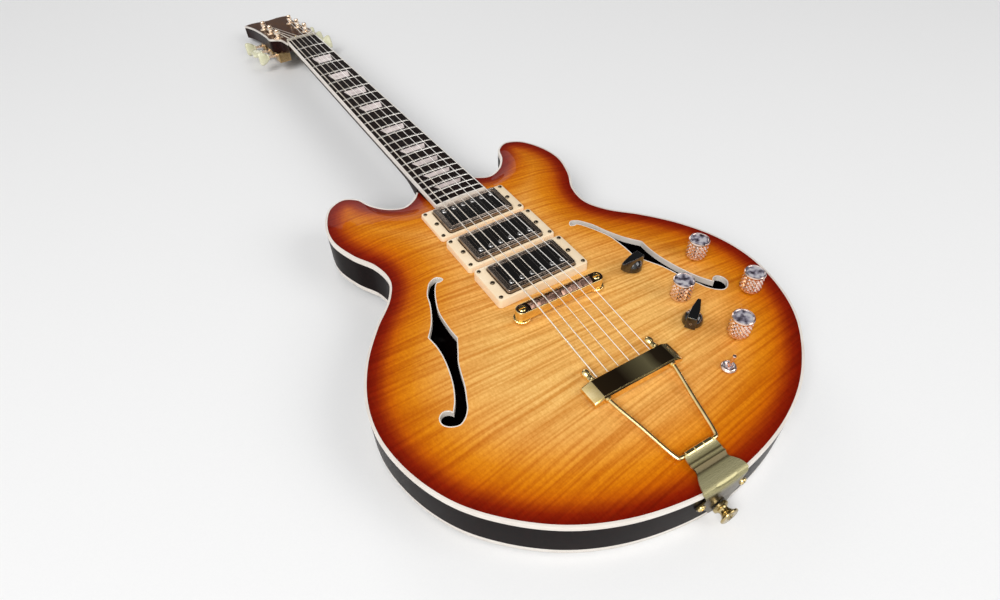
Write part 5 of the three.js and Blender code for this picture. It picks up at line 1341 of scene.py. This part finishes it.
# %% [markdown]
# ## Strings
# A string runs from the tail bar over its saddle and through its slot in the nut, then winds up its post.
# The three thick ones are wound with a finer wire, which the finish draws as a ripple along their length.
# The thin ones are drawn a little thicker than they are, because a quarter of a millimetre wouldn't show.
# %% Strings
POST_X, FIRST_POST, POST_SPACING, THINNEST_RADIUS = 21.0, 47.0, 41.0, 0.33
WINDING_STEPS, STEPS_PER_TURN = 45, 18
tuner_places = []
for index in range(6):
    side, row = (1, index) if index < 3 else (-1, 5 - index)
    tuner_places.append((side, side * POST_X, FIRST_POST + POST_SPACING * row))
for index, (thick, (side, x, y)) in enumerate(zip(DIAMETERS, tuner_places)):
    saddle = saddle_point(index)
    nut_point = NECK @ Vector((nut_x[index], SCALE + NUT / 2, 1.6 + thick / 2))
    path = [GUITAR @ Vector((saddle.x, TAIL_FRONT - 0.4, ROD_Z)), GUITAR @ saddle, nut_point]
    radius, pitch = 3.3 + thick / 2, thick + 0.45
    for k in range(WINDING_STEPS):
        turned = TURN * k / STEPS_PER_TURN
        angle = math.pi - turned if side > 0 else turned
        rise = pitch * k / STEPS_PER_TURN
        path.append(HEAD @ Vector((x + radius * math.cos(angle), y + radius * math.sin(angle), 6 + rise)))
    form = tube([p / MM for p in path], max(thick / 2, THINNEST_RADIUS), 10)
    look = string_wound if index > 2 else string_plain
    build(f"string_wire_{index + 1}", form, look, Matrix.Scale(MM, 4), crease=60,
          stands_for=[f"string_{index + 1}"])
print("strings made:", len(DIAMETERS))

# %% [markdown]
# ## Tuners
# A gold case is screwed under the headstock. Its post comes up through a bushing and its button stands out
# at the side, on the shaft of a worm. Button and post turn, so each is a piece of its own that rides on its
# own body.
# %% Cases, bushings and posts
CASE_TOP, WORM_Y, WORM_Z = -17.6, 8.1, -22.2
bushing_profile = [(7.0, 0.25), (7.0, 0.8), (6.6, 1.3), (5.6, 1.5), (5.2, 2.1), (4.2, 2.3), (3.3, 2.2),
                   (3.3, 0.3)]
post_profile = [(3.0, WORM_Z + 2), (3.0, 2.6), (3.0, 4.6), (2.6, 5.6), (2.5, 7.2), (2.7, 8.8), (3.0, 9.8),
                (3.0, 11.8), (2.6, 12.4), (0.4, 12.5)]
post_form = cut(lathe(post_profile, 28), block(-5, 5, -0.8, 0.8, 9.9, 11.0))
for number, (side, x, y) in enumerate(tuner_places, 1):
    seat = HEAD @ move(x, y)
    low_x, high_x = (-8.0, 10.0) if side > 0 else (-10.0, 8.0)
    case = block(low_x, high_x, -7.0, 12.5, CASE_TOP - 13.4, CASE_TOP)
    build(f"tuner_gold_case_{number}", case, case_gold, seat, bevel=1.6,
          stands_for=[f"tuner_case_{number}"])
    bushing = lathe(bushing_profile, 32)
    bushing.add(lathe([(2.3, 0), (2.3, 4.5), (1.9, 5.0)], 16),
                at(side * 10.0, WORM_Y, WORM_Z, 1, spin(side * QUARTER, "Y")))
    build(f"tuner_bushing_{number}", bushing, rose_gold, seat)
    build(f"tuner_gold_post_{number}", post_form, rose_gold, seat, f"post_{number}",
          stands_for=[f"tuner_post_{number}"])
print("tuners stand", POST_SPACING, "mm apart")

# %% Buttons and their stems
BUTTON_FOOT, BUTTON_LENGTH, BUTTON_HALF, BUTTON_THICK = 21.0, 14.6, 9.2, 3.5
BUTTON_TURNS = (75, 60, 90, 90, 15, 85)
button_shares = ((0, 0.44, 0.72), (0.07, 0.46, 0.74), (0.12, 0.42, 0.66), (0.2, 0.62, 0.80),
                 (0.42, 0.84, 0.96), (0.72, 1.0, 1.0), (0.88, 0.97, 0.92), (0.96, 0.86, 0.72),
                 (1.0, 0.70, 0.46))
rings = []
for share, wide, thick in button_shares:
    rings.append([(BUTTON_FOOT + BUTTON_LENGTH * share, BUTTON_HALF * wide * math.copysign(abs(c) ** 0.7, c),
                   BUTTON_THICK * thick * math.copysign(abs(s) ** 0.75, s)) for c, s in spokes(28)])
stem = lathe([(1.7, -5.3), (1.7, BUTTON_FOOT - 1.1), (2.6, BUTTON_FOOT - 0.9), (2.6, BUTTON_FOOT + 0.1)], 16)
for index, (side, x, y) in enumerate(tuner_places):
    number, body = index + 1, f"button_{index + 1}"
    turned = spin(math.radians(BUTTON_TURNS[index]), "X") @ spin(0 if side > 0 else math.pi)
    seat = HEAD @ move(x, y) @ (move(0, WORM_Y, WORM_Z) @ turned)
    build(f"tuner_pearl_button_{number}", skin(rings), button_pearl, seat, body, crease=50,
          stands_for=[f"tuner_button_{number}"])
    build(f"tuner_stem_{number}", stem, rose_gold, seat @ spin(QUARTER, "Y"), body)
print("buttons turned by", BUTTON_TURNS, "degrees")

# %% [markdown]
# ## Knobs and switches
# The volume and tone knobs are knurled: two sets of crossing grooves leave rows of small pyramids, which
# flash wherever the light comes from. Here each row's points stand out and in by turns, and the next row is
# shifted by one, which gives the same flash with few faces.
# %% A knurled knob
def knurled_knob(radius, height):
    sides, rows, groove = 30, 7, 0.95

    def ring(z, radius_at):
        return [(radius_at(i) * c, radius_at(i) * s, z) for i, (c, s) in enumerate(spokes(sides))]

    def pip(row, i):
        return radius - groove * ((i + row) % 2)

    foot = [ring(0, lambda i: radius * 0.94), ring(0.6, lambda i: radius - 0.4)]
    form = skin(foot + [ring(1.0, lambda i: pip(0, i))], ends=False)
    form.faces.append(list(range(sides - 1, -1, -1)))
    start = len(form.points) - sides
    for row in range(1, rows + 1):
        form.points += [Vector(p) for p in ring(1.0 + (height - 3.2) * row / rows, lambda i: pip(row, i))]
        for i in range(sides):
            low, low_next = start + i, start + (i + 1) % sides
            high, high_next = low + sides, low_next + sides
            if (i + row - 1) % 2:
                form.faces += [[low, low_next, high_next], [low, high_next, high]]
            else:
                form.faces += [[low, low_next, high], [low_next, high_next, high]]
        start += sides
    rim = ((radius - 0.3, height - 2.0), (radius - 0.05, height - 1.7), (radius - 0.05, height - 0.9),
           (radius - 0.35, height - 0.3), (radius - 0.9, height), (radius - 1.5, height),
           (radius - 1.8, height - 0.22), (5.0, height - 0.12), (2.5, height - 0.03), (0.3, height))
    for r, z in rim:
        form.points += [Vector(p) for p in ring(z, lambda i: r)]
        pairs = [(start + i, start + (i + 1) % sides) for i in range(sides)]
        form.faces += [[low, low_next, low_next + sides, low + sides] for low, low_next in pairs]
        start += sides
    form.faces.append(list(range(start, start + sides)))
    return form


# %% Knobs on the arched top
def heights_around(x, y, radius):
    """Heights of the top under a round foot and at its middle."""
    return [top_height(x + radius * c, y + radius * s) for c, s in spokes(16)] + [top_height(x, y)]


def seat_on_top(x, y, radius, lift=1.2):
    return max(heights_around(x, y, radius)) + lift


KNOB_PLACES = ((139, -17.5), (91, -50), (150, -73), (101.5, -106))
KNOB_RADIUS, KNOB_HEIGHT = 9.2, 18
knob_bodies = ("volume_knob_1", "volume_knob_2", "tone_knob_3", "tone_knob_4")
# The flat tops of the knobs take the finish with the painted reflection.
for number, ((x, y), body) in enumerate(zip(KNOB_PLACES, knob_bodies), 1):
    build(f"knurled_knob_{number}", knurled_knob(KNOB_RADIUS, KNOB_HEIGHT), rose_chrome,
          GUITAR @ move(x, y, seat_on_top(x, y, KNOB_RADIUS)), body, crease=24,
          stands_for=[f"knob_{number}"], top_look=knob_top)
print("knob seats:", [round(seat_on_top(x, y, KNOB_RADIUS), 1) for x, y in KNOB_PLACES])

# %% [markdown]
# ### Selectors
# The two rotary switches carry black pointer knobs: a domed skirt with a blade across it that shows where the
# switch stands. The blade is a row of sections from tail to tip, and a set screw sits in its blunt end.
# %% Pointer knobs
POINTER_PLACES = (((79.5, -1.0), 190), ((78.5, -77.8), 33))
POINTER_RADIUS, TIP_START = 17, 8
blade_steps = ((-9.2, 4.0, 3.5, 11.2), (-8.8, 4.4, 4.0, 11.9), (-3, 4.6, 4.0, 12.4), (3, 4.3, 3.5, 12.7),
               (8, 3.4, 2.6, 12.9), (12.2, 2.6, 1.8, 13.0), (14.4, 2.0, 1.4, 12.7), (14.9, 1.6, 1.0, 12.0))
blade = []
for u, foot_half, top_half, z in blade_steps:
    low = 0.0 if u < TIP_START else (u - TIP_START) * 0.8
    blade.append([(u, -foot_half, low), (u, foot_half, low), (u, foot_half * 0.96, z * 0.6),
                  (u, top_half, z - 0.4), (u, top_half - 0.3, z), (u, -top_half + 0.3, z),
                  (u, -top_half, z - 0.4), (u, -foot_half * 0.96, z * 0.6)])
pointer = lathe([(8.2, 0), (8.5, 0.5), (8.5, 2.2), (8.2, 4.2), (7.4, 6.2), (6.0, 8.0), (4.2, 9.4),
                 (2.0, 10.2)], 36).add(skin(blade))
grub = lathe([(1.2, 0), (1.2, 0.35), (0.8, 0.4), (0.7, 0.1), (0.1, 0.1)], 14)
facing = move(-9.05, 0, 5.6) @ spin(-QUARTER, "Y")
for number, ((x, y), turn) in enumerate(POINTER_PLACES, 1):
    seat = GUITAR @ move(x, y, seat_on_top(x, y, POINTER_RADIUS)) @ spin(math.radians(turn))
    body = f"selector_{number}"
    build(f"pointer_{number}", pointer, black_knob, seat, body, crease=30, bevel=0.2,
          stands_for=[f"pointer_knob_{number}"])
    build(f"pointer_set_screw_{number}", grub, steel, seat @ facing, body)
print("the pointers stand at", [turn for place, turn in POINTER_PLACES], "degrees")

# %% [markdown]
# ## Wiring, switch and jack
# Under the top hang the pots and switches that the knobs turn, joined by wires. They are hardly seen, but
# they stand for a solid of their own, so they are rebuilt too. The small switch is a lever with a rounded
# tip in a domed nut, and only the lever tips over. The jack faces straight out of the rim on the treble side.
# %% The wiring
SWITCH = (69.4, -127.8)
POT_RADIUS, SELECTOR_RADIUS, WIRE_RADIUS = 12.0, 13.0, 1.1


def ceiling(x, y, radius):
    return min(heights_around(x, y, radius)) - TOP_THICK - 0.4


harness, hearts = Form(), []
units = [(place, POT_RADIUS) for place in KNOB_PLACES]
units += [(place, SELECTOR_RADIUS) for place, turn in POINTER_PLACES]
for (x, y), radius in units:
    roof, shaft_top = ceiling(x, y, radius), top_height(x, y) + 8.0
    pot = [(radius - 0.6, roof - 9), (radius, roof - 8.4), (radius, roof - 0.6), (radius - 0.8, roof),
           (3, roof), (3, shaft_top)]
    harness.add(lathe(pot, 28), move(x, y))
    hearts.append(Vector((x, y, roof - 4.5)))
switch_ceiling = ceiling(*SWITCH, 8.2)
harness.add(block(-5.5, 5.5, -7.7, 7.7, switch_ceiling - 14, switch_ceiling), move(*SWITCH))
order = [hearts[i] for i in (0, 4, 1, 5, 3, 2)]
for start, end in zip(order, order[1:]):
    sag = (start + end) / 2 - Vector((0, 0, 1.2))
    harness.add(tube([start, start.lerp(sag, 0.6), sag, end.lerp(sag, 0.6), end], WIRE_RADIUS, 8))
harness.add(tube([hearts[3], Vector((*SWITCH, switch_ceiling - 7))], WIRE_RADIUS, 8))
build("wiring_units", harness, steel, stands_for=["wiring_harness"])
print("units under the top:", len(units) + 1)

# %% The small switch
switch_seat = seat_on_top(*SWITCH, 6.5, 0.3)
switch_nut = [(3.0, switch_ceiling)] + [(radius, switch_seat + z) for radius, z in (
    (3.0, 0), (6.3, 0), (6.5, 0.5), (6.2, 1.3), (5.4, 2.1), (4.5, 2.5), (3.7, 2.4), (3.0, 1.9), (2.7, 0.5))]
# The nut's flat top takes the knob tops' painted reflection.
build("switch_nut", lathe(switch_nut, 32), rose_chrome, GUITAR @ move(*SWITCH), top_look=knob_top)
lever = lathe([(0.65, switch_ceiling + 0.4 - switch_seat), (1.3, 0), (1.15, 2.0), (1.2, 5.0), (1.4, 8.4),
               (1.65, 10.8), (1.7, 11.6), (1.4, 12.3), (0.4, 12.5)], 20)
lever_seat = GUITAR @ move(*SWITCH, switch_seat) @ spin(math.radians(12), "Y")
build("switch_lever", lever, rose_chrome, lever_seat, "toggle", stands_for=["toggle_lever"])
print("the switch sits", round(switch_seat, 1), "mm above the back")

# %% The jack on the rim
jack_low, jack_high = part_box("output_jack")
jack_middle = to_guitar @ ((jack_low + jack_high) / 2)
JACK_Y, JACK_HEIGHT = -120, 24
treble_rim = [i for i in range(len(body_ring)) if body_ring[i].x >= 90]
near_jack = min(treble_rim, key=lambda i: abs(body_ring[i].y - JACK_Y))
before, after = body_ring[near_jack - 1], body_ring[(near_jack + 1) % len(body_ring)]
outward = Vector((after.y - before.y, before.x - after.x, 0)).normalized()
jack_place = Vector((*body_ring[near_jack], JACK_HEIGHT))
jack_space = GUITAR @ Matrix.Translation(jack_place) @ outward.to_track_quat("Z", "Y").to_matrix().to_4x4()
jack = lathe([(7.5, -20.5), (7.5, -3.6), (5.0, -3.5), (5.0, 0.35), (9.0, 0.35), (9.0, 0.9), (8.2, 1.2),
              (5.4, 1.2), (5.2, 1.9), (3.6, 1.9), (3.3, 1.5), (3.3, -16.0)], 36)
hexagon = [(6.2 * c, 6.2 * s) for c, s in spokes(6)]
jack.add(cut(prism(hexagon, 1.1, 1.75), lathe([(5.0, 0), (5.0, 3)], 24)))
build("output_socket", jack, chrome, jack_space, stands_for=["output_jack"])
print("the socket sits at", [round(v, 1) for v in jack_place], "against", [round(v, 1) for v in jack_middle])
